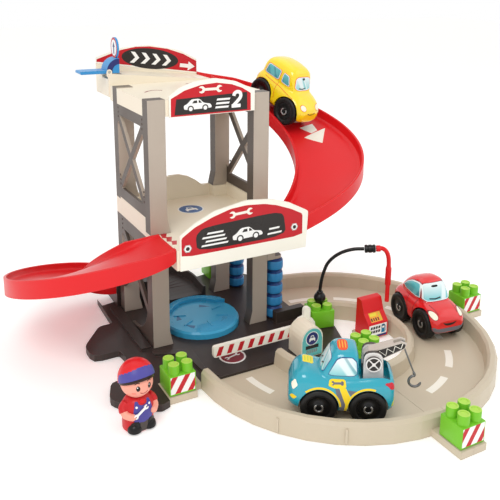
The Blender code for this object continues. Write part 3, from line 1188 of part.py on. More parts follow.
# Figure
def figure():
    """A stout toy person: one moulded body, a round head and a cap with a band."""
    stations = [(0.000, 0.0155, 0.0125), (0.003, 0.0165, 0.0135), (0.014, 0.0160, 0.0135),
                (0.0215, 0.0165, 0.0135),
                (0.029, 0.0150, 0.0125), (0.0335, 0.0115, 0.0105), (NECK_Z, 0.0075, 0.0075)]
    rings = []
    for z, half_w, half_d in stations:
        ring = []
        for k in range(FIGURE_SIDES):
            a = 2 * math.pi * k / FIGURE_SIDES
            c, s = math.cos(a), math.sin(a)
            ring.append((half_w * math.copysign(abs(c) ** 0.8, c),
                         half_d * math.copysign(abs(s) ** 0.8, s), z))
        rings.append(ring)
    body = solid(rings)
    for side in (-1, 1):
        arm = [Vector((side * 0.0125, 0.000, 0.0295)), Vector((side * 0.0165, -0.001, 0.0245)),
               Vector((side * 0.0165, -0.005, 0.0200)), Vector((side * 0.0125, -0.0115, 0.0180))]
        body = fuse(body, tube(smooth_path(arm, 4), [0.0050, 0.0052, 0.0048, 0.0044, 0.0033], 6))
        shoe = turned([(0.0062, 0.0), (0.0078, 0.0015), (0.0072, 0.006), (0.004, 0.0095)], 10,
                      side * 0.0082, -0.0085)
        body = fuse(body, shoe)
    place = heading(FIGURE_X, FIGURE_Y, 0.0, math.degrees(FIGURE_TURN))
    root = pivot("figure_place", place.translation)
    node("figure_body", move(body, place), "navy", place.translation, root)
    neck = NECK_Z + GAP
    profile = [(0.0060, neck), (0.0110, neck + 0.0015)]
    profile += [(HEAD_RADIUS * math.cos(math.radians(a)),
                 HEAD_Z + HEAD_RADIUS * 0.92 * math.sin(math.radians(a)))
                for a in range(-40, 31, 14)]
    profile += [(0.0135, CAP_LOW - 0.0012), (0.0125, CAP_LOW)]
    node("figure_head", move(turned(profile, 14), place), "skin", place.translation, root)
    cap_profile = [(0.0170, 0.0), (0.0190, 0.0007), (0.0192, 0.0035), (0.0185, 0.0060), (0.0165, 0.0090),
                   (0.0125, 0.0117), (0.0070, 0.0133), (0.0020, 0.0137)]
    cap = turned([(r, CAP_LOW + GAP + z) for r, z in cap_profile], 14)
    node("figure_cap", move(cap, place), "red", place.translation, root)


def slide_height(x, y):
    """The upper slide's floor height under a point, from the nearest sample."""
    best, height = 1.0, 0.0
    for i in range(241):
        for k in range(33):
            p = upper_slide_point(i / 240, k / 32)
            d = (p.x - x) ** 2 + (p.y - y) ** 2
            if d < best:
                best, height = d, p.z
    return height


def parked_on_slide(x, y, degrees):
    """A matrix that sets a vehicle's four wheels on the upper slide."""
    turn = Matrix.Rotation(math.radians(degrees), 3, "Z")
    spots = []
    for sx in (-1, 1):
        for sy in (-1, 1):
            p = turn @ Vector((sx * WHEELBASE / 2, sy * TRACK / 2, 0))
            spots.append(Vector((x + p.x, y + p.y, slide_height(x + p.x, y + p.y))))
    middle = sum(spots, Vector()) / 4
    forward = ((spots[2] + spots[3]) - (spots[0] + spots[1])).normalized()
    left = ((spots[1] + spots[3]) - (spots[0] + spots[2])).normalized()
    up = forward.cross(left).normalized()
    left = up.cross(forward)
    basis = Matrix((forward, left, up)).transposed().to_4x4()
    return Matrix.Translation(middle + up * YELLOW_LIFT) @ basis


def main():
    for old in list(bpy.data.objects):
        bpy.data.objects.remove(old)
    garage_base()
    rear_ramp()
    ring_road()
    upper_frame(-1, "frame_upper_left")
    upper_frame(1, "frame_upper_right")
    lower_frame(-1, "frame_lower_left", True)
    lower_frame(1, "frame_lower_right", False)
    deck_1()
    deck_2()
    signs()
    slide_node("slide_upper", upper_slide_point, UPPER_SLIDE_RIM, UPPER_SLIDE_RIM, UPPER_SLIDE_SKIRT, 0.3)
    slide_node("slide_lower", lower_slide_point, LOWER_SLIDE_RIM, LOWER_SLIDE_RIM, LOWER_SLIDE_SKIRT, 0.15)
    start_lever()
    turntable()
    wash_rollers()
    booth_and_barrier()
    fuel_pump()
    hose_arm()
    lock = RING_RADIUS + LOCK_LENGTH / 2 + 0.003
    brick("brick_front", RING_X, RING_Y - lock, BASE_TOP)
    brick("brick_right", RING_X + lock, RING_Y, BASE_TOP)
    brick("brick_left", LEFT_BRICK_X, LEFT_BRICK_Y, BASE_TOP)
    brick("brick_centre", CENTRE_BRICK_X, CENTRE_BRICK_Y, BASE_TOP, CENTRE_BRICK_TURN, CENTRE_STUD_HEIGHT)
    brick("brick_inner", INNER_BRICK_X, INNER_BRICK_Y, BASE_TOP)
    brick("brick_rear", REAR_BRICK_X, REAR_BRICK_Y, BASE_TOP)
    road = ROAD_TOP + GAP
    vehicle("yellow_car", fuse(loft(WAGON_BODY), loft(WAGON_CABIN)), "yellow",
            parked_on_slide(YELLOW_X, YELLOW_Y, YELLOW_HEADING), 0.078)
    vehicle("red_car", fuse(loft(CAR_BODY), loft(CAR_CABIN)), "red",
            heading(RED_X, RED_Y, road, RED_HEADING), 0.076)
    truck_place = heading(TRUCK_X, TRUCK_Y, road, TRUCK_HEADING)
    crane(truck_place, vehicle("truck", truck_body(), "teal", truck_place, 0.084))
    figure()


main()
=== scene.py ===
"""Looks of a toy garage with vehicles: finished surfaces, printed marks, light and camera.

Shapes here are written in millimetres, in the garage's own frame or in a vehicle's, and become
metres in mesh_object. Materials are called by their colour's name.
"""
import json
from math import (acos, asin, atan2, copysign, cos, degrees, hypot, pi, radians, sin, sqrt)

import bmesh
import bpy
from mathutils import Matrix, Vector
from mathutils.bvhtree import BVHTree


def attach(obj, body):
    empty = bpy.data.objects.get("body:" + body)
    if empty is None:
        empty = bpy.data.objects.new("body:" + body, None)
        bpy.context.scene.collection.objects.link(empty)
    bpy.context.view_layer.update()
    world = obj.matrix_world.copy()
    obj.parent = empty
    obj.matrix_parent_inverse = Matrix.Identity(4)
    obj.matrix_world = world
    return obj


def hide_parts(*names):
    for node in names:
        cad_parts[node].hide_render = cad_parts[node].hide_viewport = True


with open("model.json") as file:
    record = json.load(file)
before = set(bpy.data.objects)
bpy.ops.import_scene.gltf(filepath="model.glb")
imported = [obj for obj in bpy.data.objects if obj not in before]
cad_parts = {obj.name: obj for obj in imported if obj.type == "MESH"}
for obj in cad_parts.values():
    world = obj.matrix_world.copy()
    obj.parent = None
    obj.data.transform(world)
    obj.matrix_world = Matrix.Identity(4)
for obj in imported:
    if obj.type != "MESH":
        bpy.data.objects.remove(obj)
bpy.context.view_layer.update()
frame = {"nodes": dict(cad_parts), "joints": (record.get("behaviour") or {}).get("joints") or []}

MM = 0.001
X, Y, Z = Vector((1, 0, 0)), Vector((0, 1, 0)), Vector((0, 0, 1))

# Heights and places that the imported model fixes
DECK_1, DECK_2 = 153.0, 312.0
LANE_FRONT_FACE, UPPER_SIGN_FACE, START_SIGN_FACE = -122.7, -65.9, 126.3
RING_X, RING_Y, ROAD_TOP = 128.0, -157.0, 5.0
WHEEL_RADIUS, HALF_BASE = 19.0, 25.0
TABLE_X, TABLE_Y, TABLE_TOP, TABLE_RIM = 2.0, -24.0, 17.0, 4.0
LANE_HALF_WIDTH, SLIDE_SIDE_GAP, SLIDE_INSET = 28.5, 1.0, 0.25
BOOM_ROOT, BOOM_LENGTH, BOOM_RAKE = (-29.0, 66.0), 34.0, radians(25)
EYE = (-0.3435, -0.8002, 0.4455)

COLOURS = {
    "cream": (240, 230, 210), "ivory": (250, 246, 234), "white": (246, 246, 244),
    "taupe": (88, 78, 71), "beige": (182, 170, 157), "dark": (56, 46, 43),
    "road": (203, 190, 168), "slide_red": (222, 26, 32), "sign_red": (196, 26, 38),
    "maroon": (138, 30, 44), "plate": (44, 40, 38), "table_blue": (66, 178, 226),
    "roller_blue": (58, 146, 208), "deep_blue": (28, 66, 128), "navy": (44, 50, 112),
    "disc_blue": (38, 92, 156), "green": (120, 196, 44), "lit_stud_green": (178, 222, 84),
    "teal": (12, 160, 182), "booth_teal": (98, 190, 192), "yellow": (252, 220, 22),
    "car_red": (226, 30, 34), "tyre": (22, 21, 21), "hub": (14, 14, 15), "silver": (196, 196, 196),
    "hook_grey": (112, 112, 112), "notch_shade_blue": (30, 104, 160), "tint": (240, 140, 122),
    "grey": (140, 132, 128), "housing": (232, 228, 226), "housing_dark": (74, 66, 62),
    "boom": (200, 190, 180), "cap_red": (218, 32, 38), "band": (80, 76, 156), "overall": (74, 70, 150),
    "skin": (244, 166, 146), "sleeve": (200, 32, 38), "black": (16, 15, 16), "hair": (52, 34, 30),
    "smile": (176, 84, 74), "glass_white": (232, 244, 246), "glass_teal": (96, 196, 204),
    "glass_deep": (40, 132, 150), "lamp": (250, 246, 226), "orange": (238, 84, 34),
    "screen": (248, 176, 60), "patch_yellow": (244, 224, 66), "pump_blue": (34, 126, 170),
    "tail_red": (206, 44, 60), "stripe_yellow": (250, 216, 40), "lime": (206, 216, 60),
    "trim_grey": (112, 112, 122), "dash": (244, 240, 228),
}

# How a colour's surface differs from plain moulded plastic; a colour not named here is printed film
FILM = {"rough": 0.30, "mottle": 0.035, "grain": 0.05, "grain_scale": 2600.0, "coat": 0.05, "wear_and_highlight": 0.0,
        "edge": 0.1}
PAINT = {"rough": 0.16, "mottle": 0.03, "grain": 0.03, "coat": 0.6, "wear_and_highlight": 0.0}
FINISHES = {
    "cream": {"rough": 0.38, "mottle": 0.03}, "ivory": {"rough": 0.32}, "taupe": {}, "dark": {},
    "road": {"rough": 0.40, "grain": 0.16, "grain_scale": 900.0}, "slide_red": {}, "boom": {},
    "table_blue": {"rough": 0.30, "wear_and_highlight": 0.10}, "roller_blue": {"wear_and_highlight": 0.08},
    "deep_blue": {"rough": 0.35},
    "green": {"rough": 0.36}, "lit_stud_green": {"rough": 0.40}, "grey": {"wear_and_highlight": 0.05},
    "hub": {"rough": 0.28, "wear_and_highlight": 0.05},
    "silver": {"rough": 0.25, "metallic": 0.9}, "hook_grey": {"rough": 0.30, "wear_and_highlight": 0.0, "metallic": 0.6},
    "tyre": {"rough": 0.46, "grain": 0.5, "grain_scale": 900.0, "coat": 0.05, "wear_and_highlight": 0.05},
    "car_red": PAINT, "teal": {**PAINT, "mottle": 0.04}, "yellow": {**PAINT, "rough": 0.18, "coat": 0.55},
    "orange": {"wear_and_highlight": 0.0}, "sleeve": {"rough": 0.4, "wear_and_highlight": 0.0},
    "skin": {"rough": 0.42, "wear_and_highlight": 0.0}, "band": {"rough": 0.42, "wear_and_highlight": 0.0},
}


def linear(name):
    """A named sRGB colour as linear red, green, blue and alpha."""
    parts = [c / 255 for c in COLOURS[name]]
    return tuple(((c + 0.055) / 1.055) ** 2.4 if c > 0.04 else c / 12.92 for c in parts) + (1.0,)


def scaled(colour, factor):
    return tuple(min(1.0, c * factor) for c in colour[:3]) + (1.0,)


class Surface:
    """A Principled material under construction, with a few wiring helpers."""

    def __init__(self, name):
        self.material = bpy.data.materials.new(name)
        self.material.use_nodes = True
        self.tree = self.material.node_tree
        self.shader = self.tree.nodes["Principled BSDF"]
        self.place = self.node("ShaderNodeTexCoord")

    def node(self, kind, **values):
        new = self.tree.nodes.new(kind)
        for key, value in values.items():
            setattr(new, key, value)
        return new

    def link(self, source, target):
        self.tree.links.new(source, target)

    def noise(self, scale, detail=3.0):
        new = self.node("ShaderNodeTexNoise")
        new.inputs["Scale"].default_value = scale
        new.inputs["Detail"].default_value = detail
        self.link(self.place.outputs["Object"], new.inputs["Vector"])
        return new.outputs["Fac"]

    def remap(self, value, low, high, to_low, to_high):
        new = self.node("ShaderNodeMapRange")
        for key, number in (("From Min", low), ("From Max", high), ("To Min", to_low), ("To Max", to_high)):
            new.inputs[key].default_value = number
        self.link(value, new.inputs["Value"])
        return new.outputs["Result"]

    def blend(self, factor, first, second):
        """Mixes two colours; each is a colour or a socket."""
        new = self.node("ShaderNodeMix", data_type="RGBA")
        self.link(factor, new.inputs["Factor"])
        for socket, value in (("A", first), ("B", second)):
            target = [i for i in new.inputs if i.name == socket and i.type == "RGBA"][0]
            if isinstance(value, tuple):
                target.default_value = value
            else:
                self.link(value, target)
        return [o for o in new.outputs if o.type == "RGBA"][0]

    def along(self, source, direction):
        """The dot product of a vector output with a fixed direction."""
        new = self.node("ShaderNodeVectorMath", operation="DOT_PRODUCT")
        self.link(self.place.outputs[source], new.inputs[0])
        new.inputs[1].default_value = direction
        return new.outputs["Value"]

    def math(self, operation, first, number=0.0):
        new = self.node("ShaderNodeMath", operation=operation)
        self.link(first, new.inputs[0])
        new.inputs[1].default_value = number
        return new.outputs[0]

    def finish(self, colour, rough=0.34, mottle=0.05, grain=0.12, grain_scale=1400.0, coat=0.06, wear_and_highlight=0.12,
               edge=0.6, metallic=0.0):
        """Mottling, edges lightened partly as wear and partly as a painted highlight, uneven gloss,
        softened edges and a fine moulded grain.
        """
        cloud = self.noise(16.0)
        base = colour
        if isinstance(colour, tuple):
            base = self.blend(cloud, scaled(colour, 1 - mottle), scaled(colour, 1 + mottle))
        bevel = self.node("ShaderNodeBevel", samples=4)
        bevel.inputs["Radius"].default_value = edge * MM
        # Edges are blended towards a pale cream: partly wear, partly a painted highlight.
        if wear_and_highlight > 0:
            normal = self.node("ShaderNodeNewGeometry")
            match = self.node("ShaderNodeVectorMath", operation="DOT_PRODUCT")
            self.link(bevel.outputs["Normal"], match.inputs[0])
            self.link(normal.outputs["Normal"], match.inputs[1])
            rim = self.remap(match.outputs["Value"], 0.82, 0.985, wear_and_highlight, 0.0)
            base = self.blend(rim, base, (0.95, 0.92, 0.86, 1.0))
        self.link(base, self.shader.inputs["Base Color"])
        self.link(self.remap(cloud, 0.3, 0.7, rough - 0.05, rough + 0.07), self.shader.inputs["Roughness"])
        bump = self.node("ShaderNodeBump")
        bump.inputs["Strength"].default_value = grain
        bump.inputs["Distance"].default_value = 0.2 * MM
        self.link(self.noise(grain_scale, 2.0), bump.inputs["Height"])
        self.link(bevel.outputs["Normal"], bump.inputs["Normal"])
        self.link(bump.outputs["Normal"], self.shader.inputs["Normal"])
        self.shader.inputs["Metallic"].default_value = metallic
        self.shader.inputs["Specular IOR Level"].default_value = 0.5 if coat > 0.3 or metallic else 0.28
        self.shader.inputs["Coat Weight"].default_value = coat
        self.shader.inputs["Coat Roughness"].default_value = 0.12
        return self.material


def surface(kind):
    """The material of a named colour; a finished material comes back as it is."""
    if not isinstance(kind, str):
        return kind
    found = bpy.data.materials.get("m_" + kind)
    return found or Surface("m_" + kind).finish(linear(kind), **FINISHES.get(kind, FILM))


def two_tone(label, facing, other, axis, rough=0.42):
    """Plastic whose faces along an axis get another colour than its other faces; on the frame the facing
    colour is painted light and the other colour painted shade of one plastic.
    """
    new = Surface("m_" + label)
    side = new.math("GREATER_THAN", new.math("ABSOLUTE", new.along("Normal", axis)), 0.7)
    cloud = new.noise(22.0)
    light = new.blend(cloud, scaled(linear(facing), 0.93), scaled(linear(facing), 1.06))
    deep = new.blend(cloud, scaled(linear(other), 0.86), scaled(linear(other), 1.12))
    return new.finish(new.blend(side, deep, light), rough, grain=0.14, grain_scale=900.0, wear_and_highlight=0.14)


def base_plastic():
    """Dark base plastic with the road's colour on the shelf beside the left brick."""
    new = Surface("m_base")
    shelf = None
    for direction, limit in (((1, 0, 0), -101.5), ((-1, 0, 0), 58.0), ((0, -1, 0), 136.5),
                             ((0, 0, -1), -9.0)):
        inside = new.math("GREATER_THAN", new.along("Object", direction), limit * MM)
        if shelf is None:
            shelf = inside
        else:
            both = new.node("ShaderNodeMath", operation="MULTIPLY")
            new.link(shelf, both.inputs[0])
            new.link(inside, both.inputs[1])
            shelf = both.outputs[0]
    cloud = new.noise(22.0)
    dark = new.blend(cloud, scaled(linear("dark"), 0.86), scaled(linear("dark"), 1.14))
    return new.finish(new.blend(shelf, dark, linear("road")), 0.42, grain=0.25, grain_scale=700.0, coat=0.1,
                      wear_and_highlight=0.10)


def window(label, direction, middle, low, high, top="glass_white", bottom="glass_teal", deep="glass_deep"):
    """A printed window: a tint that pales upwards, crossed by slanted reflections."""
    new = Surface("m_" + label)
    rise = new.remap(new.along("Object", (0, 0, 1)), low * MM, high * MM, 0.0, 1.0)
    tint = new.blend(rise, linear(bottom), linear(top))
    slant = new.along("Object", direction)
    for shift, inner, outer, strength, colour in ((5.6, 0.8, 2.0, 0.55, deep), (0.0, 2.2, 4.2, 0.85, top),
                                                  (8.0, 0.5, 1.2, 0.75, top)):
        away = new.math("ABSOLUTE", new.math("SUBTRACT", slant, (middle + shift) * MM))
        tint = new.blend(new.remap(away, inner * MM, outer * MM, strength, 0.0), tint, linear(colour))
    return new.finish(tint, 0.14, grain=0.02, grain_scale=2600.0, coat=0.6, wear_and_highlight=0.0, edge=0.1)


class Form:
    """Points in millimetres and faces, each face with a material number."""

    def __init__(self):
        self.points, self.faces, self.slots = [], [], []

    def add(self, points, faces, slots):
        base = len(self.points)
        self.points += [Vector(p) for p in points]
        self.faces += [[base + i for i in face] for face in faces]
        self.slots += slots

    def loft(self, rings, slot=0, chooser=None):
        """A closed skin through rings of equally many points."""
        count = len(rings[0])
        points = [p for ring in rings for p in ring]
        faces, slots = [], []
        for r in range(len(rings) - 1):
            for i in range(count):
                j = (i + 1) % count
                faces.append([r * count + i, r * count + j, (r + 1) * count + j, (r + 1) * count + i])
                slots.append(chooser(r, i) if chooser else slot)
        faces += [list(range(count)), [(len(rings) - 1) * count + i for i in reversed(range(count))]]
        self.add(points, faces, slots + [slots[0], slots[-1]])

    def ring(self, rings):
        """A skin through rings that closes on itself, such as a hoop."""
        count, total = len(rings[0]), len(rings)
        faces = [[r * count + i, r * count + (i + 1) % count, (r + 1) % total * count + (i + 1) % count,
                  (r + 1) % total * count + i] for r in range(total) for i in range(count)]
        self.add([p for ring in rings for p in ring], faces, [0] * len(faces))

    def plate(self, outline, sheet, low, high, slot=0):
        """A flat outline raised from low to high over a sheet."""
        self.loft([[sheet.at(a, b, h) for a, b in outline] for h in (low, high)], slot)

    def block(self, low, high):
        self.plate(oblong(*low[:2], *high[:2]), floor_sheet(0), low[2], high[2])

    def lathe(self, profile, centre=(0, 0, 0), axis=Z, sides=48, slot=0, chooser=None, shape=None):
        """Turns (radius, height) points round an axis; shape may change a radius by angle."""
        side = axis.orthogonal().normalized()
        if abs(axis.z) > 0.9:
            side = X.copy()
        other = axis.cross(side)
        rings = []
        for row, (radius, height) in enumerate(profile):
            ring = []
            for k in range(sides):
                a = 2 * pi * k / sides
                r = max(radius * (shape(row, k) if shape else 1.0), 0.05)
                ring.append(Vector(centre) + axis * height + side * r * cos(a) + other * r * sin(a))
            rings.append(ring)
        self.loft(rings, slot, chooser)

    def tube(self, route, radii, sides):
        """A round bar along a route of points."""
        radii = radii if isinstance(radii, list) else [radii] * len(route)
        rings, normal = [], None
        for i, p in enumerate(route):
            along = (route[min(i + 1, len(route) - 1)] - route[max(i - 1, 0)]).normalized()
            normal = along.orthogonal().normalized() if normal is None else normal
            normal = (normal - along * normal.dot(along)).normalized()
            other = along.cross(normal)
            rings.append([p + normal * radii[i] * cos(2 * pi * k / sides)
                          + other * radii[i] * sin(2 * pi * k / sides) for k in range(sides)])
        self.loft(rings)

    def ball(self, centre, radii, sides):
        profile = [(sin(pi * i / 12), -cos(pi * i / 12)) for i in range(13)]
        rings = [[Vector((centre[0] + radii[0] * max(r, 0.01) * cos(2 * pi * k / sides),
                          centre[1] + radii[1] * max(r, 0.01) * sin(2 * pi * k / sides),
                          centre[2] + radii[2] * h)) for k in range(sides)] for r, h in profile]
        self.loft(rings)


class Sheet:
    """A flat place for marks: an origin in millimetres and two directions."""

    def __init__(self, origin, across, up):
        self.origin, self.across, self.up = Vector(origin), across.normalized(), up.normalized()
        self.out = self.across.cross(self.up)

    def at(self, a, b, h=0.0):
        return self.origin + self.across * a + self.up * b + self.out * h


def front_sheet(y):
    return Sheet((0, y, 0), X, Z)


def floor_sheet(z):
    return Sheet((0, 0, z), X, Y)


def mesh_object(name, form, materials=()):
    mesh = bpy.data.meshes.new(name)
    mesh.from_pydata([tuple(p * MM) for p in form.points], [], form.faces)
    for polygon, slot in zip(mesh.polygons, form.slots):
        polygon.material_index = slot
    for kind in materials:
        mesh.materials.append(surface(kind))
    bm = bmesh.new()
    bm.from_mesh(mesh)
    bmesh.ops.recalc_face_normals(bm, faces=bm.faces)
    bm.to_mesh(mesh)
    bm.free()
    new = bpy.data.objects.new(name, mesh)
    bpy.context.scene.collection.objects.link(new)
    return new


def evaluated(thing):
    """Applies an object's modifiers to its mesh."""
    graph = bpy.context.evaluated_depsgraph_get()
    thing.data = bpy.data.meshes.new_from_object(thing.evaluated_get(graph))
    thing.modifiers.clear()
    return thing


def melted(piece, voxel, rounds):
    """Joins the overlapping closed forms of a piece into one smooth skin."""
    melt = piece.modifiers.new("melt", "REMESH")
    melt.mode = "VOXEL"
    melt.voxel_size = voxel * MM
    soften = piece.modifiers.new("soften", "SMOOTH")
    soften.factor = 0.5
    soften.iterations = rounds
    evaluated(piece)


def settle(piece, body, place, replaces, smooth=35):
    """Shades a finished piece, puts it in place, attaches it to its body and hides the parts it replaces.
    """
    piece.data.shade_smooth()
    piece.data.set_sharp_from_angle(angle=radians(smooth))
    if place is not None:
        piece.matrix_world = place
    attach(piece, body)
    if replaces:
        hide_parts(*replaces)
    return piece


def add_piece(name, form, materials, body, place=None, replaces=(), bevel=0.0, smooth=35):
    piece = mesh_object(name, form, materials)
    if bevel:
        step = piece.modifiers.new("bevel", "BEVEL")
        step.width = bevel * MM
        step.segments = 2
        step.limit_method = "ANGLE"
        step.angle_limit = radians(40)
        evaluated(piece)
    return settle(piece, body, place, replaces, smooth)


# Outlines
def circle(x, y, radius, steps=36, tall=None):
    return [(x + radius * cos(2 * pi * i / steps),
             y + (tall or radius) * sin(2 * pi * i / steps)) for i in range(steps)]


def polar(x, y, radius, angle):
    return (x + radius * cos(radians(angle)), y + radius * sin(radians(angle)))


def arc(x, y, radius, start, end, steps=16):
    return [polar(x, y, radius, start + (end - start) * i / steps) for i in range(steps + 1)]


def sector(x, y, inner, outer, start, end, steps=16):
    return arc(x, y, outer, start, end, steps) + arc(x, y, inner, end, start, steps)


def oblong(left, low, right, high, lean=0.0):
    """A rectangle; a lean shifts its upper edge sideways."""
    return [(left, low), (right, low), (right + lean, high), (left + lean, high)]


def tapered(low_half, low, high_half, high):
    """A four-sided outline that is even about the upright axis."""
    return [(-low_half, low), (low_half, low), (high_half, high), (-high_half, high)]


def turned(points, angle, x=0.0, y=0.0, size=1.0):
    c, s = cos(radians(angle)) * size, sin(radians(angle)) * size
    return [(x + a * c - b * s, y + a * s + b * c) for a, b in points]


def softened(points, rounds=2, cut=0.22):
    """Cuts the corners of an outline into short curves."""
    for _ in range(rounds):
        cut_points = []
        for i, p in enumerate(points):
            before, after = points[i - 1], points[(i + 1) % len(points)]
            for q in (before, after):
                cut_points.append((p[0] + (q[0] - p[0]) * cut, p[1] + (q[1] - p[1]) * cut))
        points = cut_points
    return points


def spanner(length, slim=1.0):
    """A double open-ended spanner lying along the first axis, centred."""
    head, bar = length * 0.135, length * 0.05 * slim
    reach = length / 2 - head
    meet = degrees(asin(bar / head))
    right = [(reach + a, b) for a, b in arc(0, 0, head, 180 - meet, 34, 10)]
    right += [(reach + head * 0.05, head * 0.42), (reach - head * 0.28, 0),
              (reach + head * 0.05, -head * 0.42)]
    right += [(reach + a, b) for a, b in arc(0, 0, head, -34, -180 + meet, 10)]
    return right + [(-a, -b) for a, b in right]


def arrow(length, width):
    """An arrow pointing along the first axis."""
    half, neck = length / 2, length * 0.05
    return [(-half, -width * 0.2), (neck, -width * 0.2), (neck, -width / 2), (half, 0), (neck, width / 2),
            (neck, width * 0.2), (-half, width * 0.2)]


def car_outline(size):
    """A plain car seen from the side, nose to the right; wheels are drawn apart."""
    shape = [(-1.0, 0.0), (-1.03, 0.30), (-0.78, 0.40), (-0.45, 0.70), (0.12, 0.70), (0.46, 0.38),
             (0.92, 0.30), (1.04, 0.12), (1.0, 0.0)]
    return softened([(a * size, b * size) for a, b in shape], 2, 0.15)


def stroke(path, width):
    """The outline of a line of even width along a path."""
    left, right = [], []
    for i, (a, b) in enumerate(path):
        p, q = path[max(i - 1, 0)], path[min(i + 1, len(path) - 1)]
        run, rise = q[0] - p[0], q[1] - p[1]
        size = hypot(run, rise)
        left.append((a - rise / size * width / 2, b + run / size * width / 2))
        right.append((a + rise / size * width / 2, b - run / size * width / 2))
    return left + list(reversed(right))


def prints(name, sheet, marks, body="garage", place=None):
    """Sticker layers: marks are (outline, colour name, layer), higher layers lie on lower ones."""
    names = list(dict.fromkeys(mark[1] for mark in marks))
    form = Form()
    for outline, colour, layer in marks:
        form.plate(outline, sheet, -0.03, 0.10 + 0.09 * layer, names.index(colour))
    return add_piece(name, form, names, body, place)


def catmull(points, steps):
    """A smooth curve through points given as vectors."""
    knots = [2 * points[0] - points[1], *points, 2 * points[-1] - points[-2]]
    result = []
    for k in range(len(points) - 1):
        a, b, c, d = knots[k:k + 4]
        for i in range(steps):
            t = i / steps
            result.append(0.5 * (2 * b + (c - a) * t + (2 * a - 5 * b + 4 * c - d) * t * t
                                 + (3 * b - a - 3 * c + d) * t ** 3))
    return result + [points[-1].copy()]


def drape(form, outline, sheet, target, lift=0.22, sink=0.3, slot=0, edge=1.6):
    """Lays an outline on a curved body: seen along the sheet, a thin closed skin follows the body."""
    bm = bmesh.new()
    bm.faces.new([bm.verts.new((a, b, 0)) for a, b in outline])
    bmesh.ops.triangulate(bm, faces=bm.faces)
    for _ in range(7):
        long_edges = [e for e in bm.edges if e.calc_length() > edge]
        if not long_edges:
            break
        bmesh.ops.subdivide_edges(bm, edges=long_edges, cuts=1)
        bmesh.ops.triangulate(bm, faces=[f for f in bm.faces if len(f.verts) > 3])
    bm.verts.index_update()
    upper, lower, depth = [], [], None
    for v in bm.verts:
        start = sheet.at(v.co.x, v.co.y)
        spot, normal, _, distance = target.ray_cast(start, -sheet.out)
        if spot is None:
            spot, normal, _, _ = target.find_nearest(start - sheet.out * (depth or 40.0))
        else:
            depth = distance
        if normal.dot(sheet.out) < 0:
            normal = -normal
        upper.append(spot + normal * lift)
        lower.append(spot - normal * sink)
    count = len(upper)
    faces = [[v.index for v in f.verts] for f in bm.faces]
    faces += [[count + i for i in reversed(face)] for face in faces]
    for e in bm.edges:
        if e.is_boundary:
            i, j = e.verts[0].index, e.verts[1].index
            faces.append([i, j, count + j, count + i])
    bm.free()
    form.add(upper + lower, faces, [slot] * len(faces))


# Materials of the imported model's own parts
def dress_frame():
    cream = "cream"
    # The frame is one plastic: beige on its faces along Y is painted light and taupe on its other faces is
    # painted shade.
    frame_lit_and_shaded = two_tone("frame", "beige", "taupe", (0, 1, 0))
    truck_side = (-0.543, -0.840, 0)
    chosen = {
        "garage_base": base_plastic(),
        "rear_ramp": "dark", "deck_1": cream, "deck_2": cream,
        "sign_panel_lower": "ivory", "sign_panel_upper": "ivory",
        "sign_panel_start": "ivory", "start_lever": "roller_blue",
        "start_lever_pin": "silver",
        "ticket_booth": cream, "barrier_arm": "ivory", "fuel_pump": "slide_red",
        "crane_housing": two_tone("housing", "housing", "housing_dark", truck_side, 0.3),
        "crane_boom": "boom",
    }
    road = "road"
    for node in ("road_quarter_rear", "road_quarter_right", "road_quarter_front", "road_lock_rear",
                 "road_lock_right"):
        chosen[node] = road
    for node in ("frame_upper_left", "frame_upper_right", "frame_lower_left", "frame_lower_right"):
        chosen[node] = frame_lit_and_shaded
    for node in ("roller_bracket_front", "roller_bracket_rear"):
        chosen[node] = frame_lit_and_shaded
    for node in ("yellow_car_chassis", "red_car_chassis", "truck_chassis"):
        chosen[node] = "grey"
    chosen["turntable"] = "table_blue"
    for node, material in chosen.items():
        thing = frame["nodes"][node]
        for slot in thing.material_slots:
            slot.material = surface(material)


# Slides
def slide_edges(t, ends, reaches, powers, swell):
    """Inner and outer edge of a half-turn slide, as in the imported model."""
    start_x, end_x, start_y, end_y = ends
    x = start_x + (end_x - start_x) * t * t * (3 - 2 * t)
    half = LANE_HALF_WIDTH - SLIDE_SIDE_GAP
    middle, radius = (start_y + end_y) / 2, (start_y - end_y) / 2
    side = copysign(1, radius)
    wave, turn = max(sin(pi * t), 0.0), cos(pi * t)
    outer_y = middle + (radius + side * (half + swell[0] * wave)) * turn
    inner_y = middle + (radius - side * (half + swell[1] * wave)) * turn
    return (Vector((x + reaches[1] * wave ** powers[1], inner_y)),
            Vector((x + reaches[0] * wave ** powers[0], outer_y)))


def slide(name, ends, reaches, powers, swell, height, rim, skirt, start_rim, steps=96):
    form = Form()
    rings = []
    wall = 3.0
    for i in range(steps + 1):
        t = i / steps
        inner, outer = slide_edges(t, ends, reaches, powers, swell)
        width = (outer - inner).length
        across = (outer - inner) / width
        width -= SLIDE_INSET
        rise = rim * min(1.0, start_rim + (1 - start_rim) * t / 0.15)
        section = [(0.0, 0.4 * rise), (0, rise), (wall * 0.5, rise + 0.5), (wall, rise),
                   (wall + 0.6, rise * 0.45),
                   (wall + 1.5, 1.5), (wall + 3.2, 0.4), (wall + 6, 0.0), (width * 0.5, 0.0),
                   (width - wall - 7, 0.0), (width - wall - 3.6, 0.5), (width - wall - 1.5, 2.0),
                   (width - wall - 0.5, rise * 0.5), (width - wall, rise), (width - wall * 0.5, rise + 0.6),
                   (width, rise), (width, 0.4 * rise), (width, -skirt), (width - wall, -skirt),
                   (width - wall - 1, -wall), (width * 0.5, -wall), (wall + 1, -wall), (wall, -skirt),
                   (0, -skirt)]
        z = height(t)
        rings.append([(inner.x + across.x * a, inner.y + across.y * a, z + h) for a, h in section])
    form.loft(rings)
    return add_piece(name, form, ["slide_red"],
                     "garage", replaces=[name.replace("_shell", "")], smooth=32)


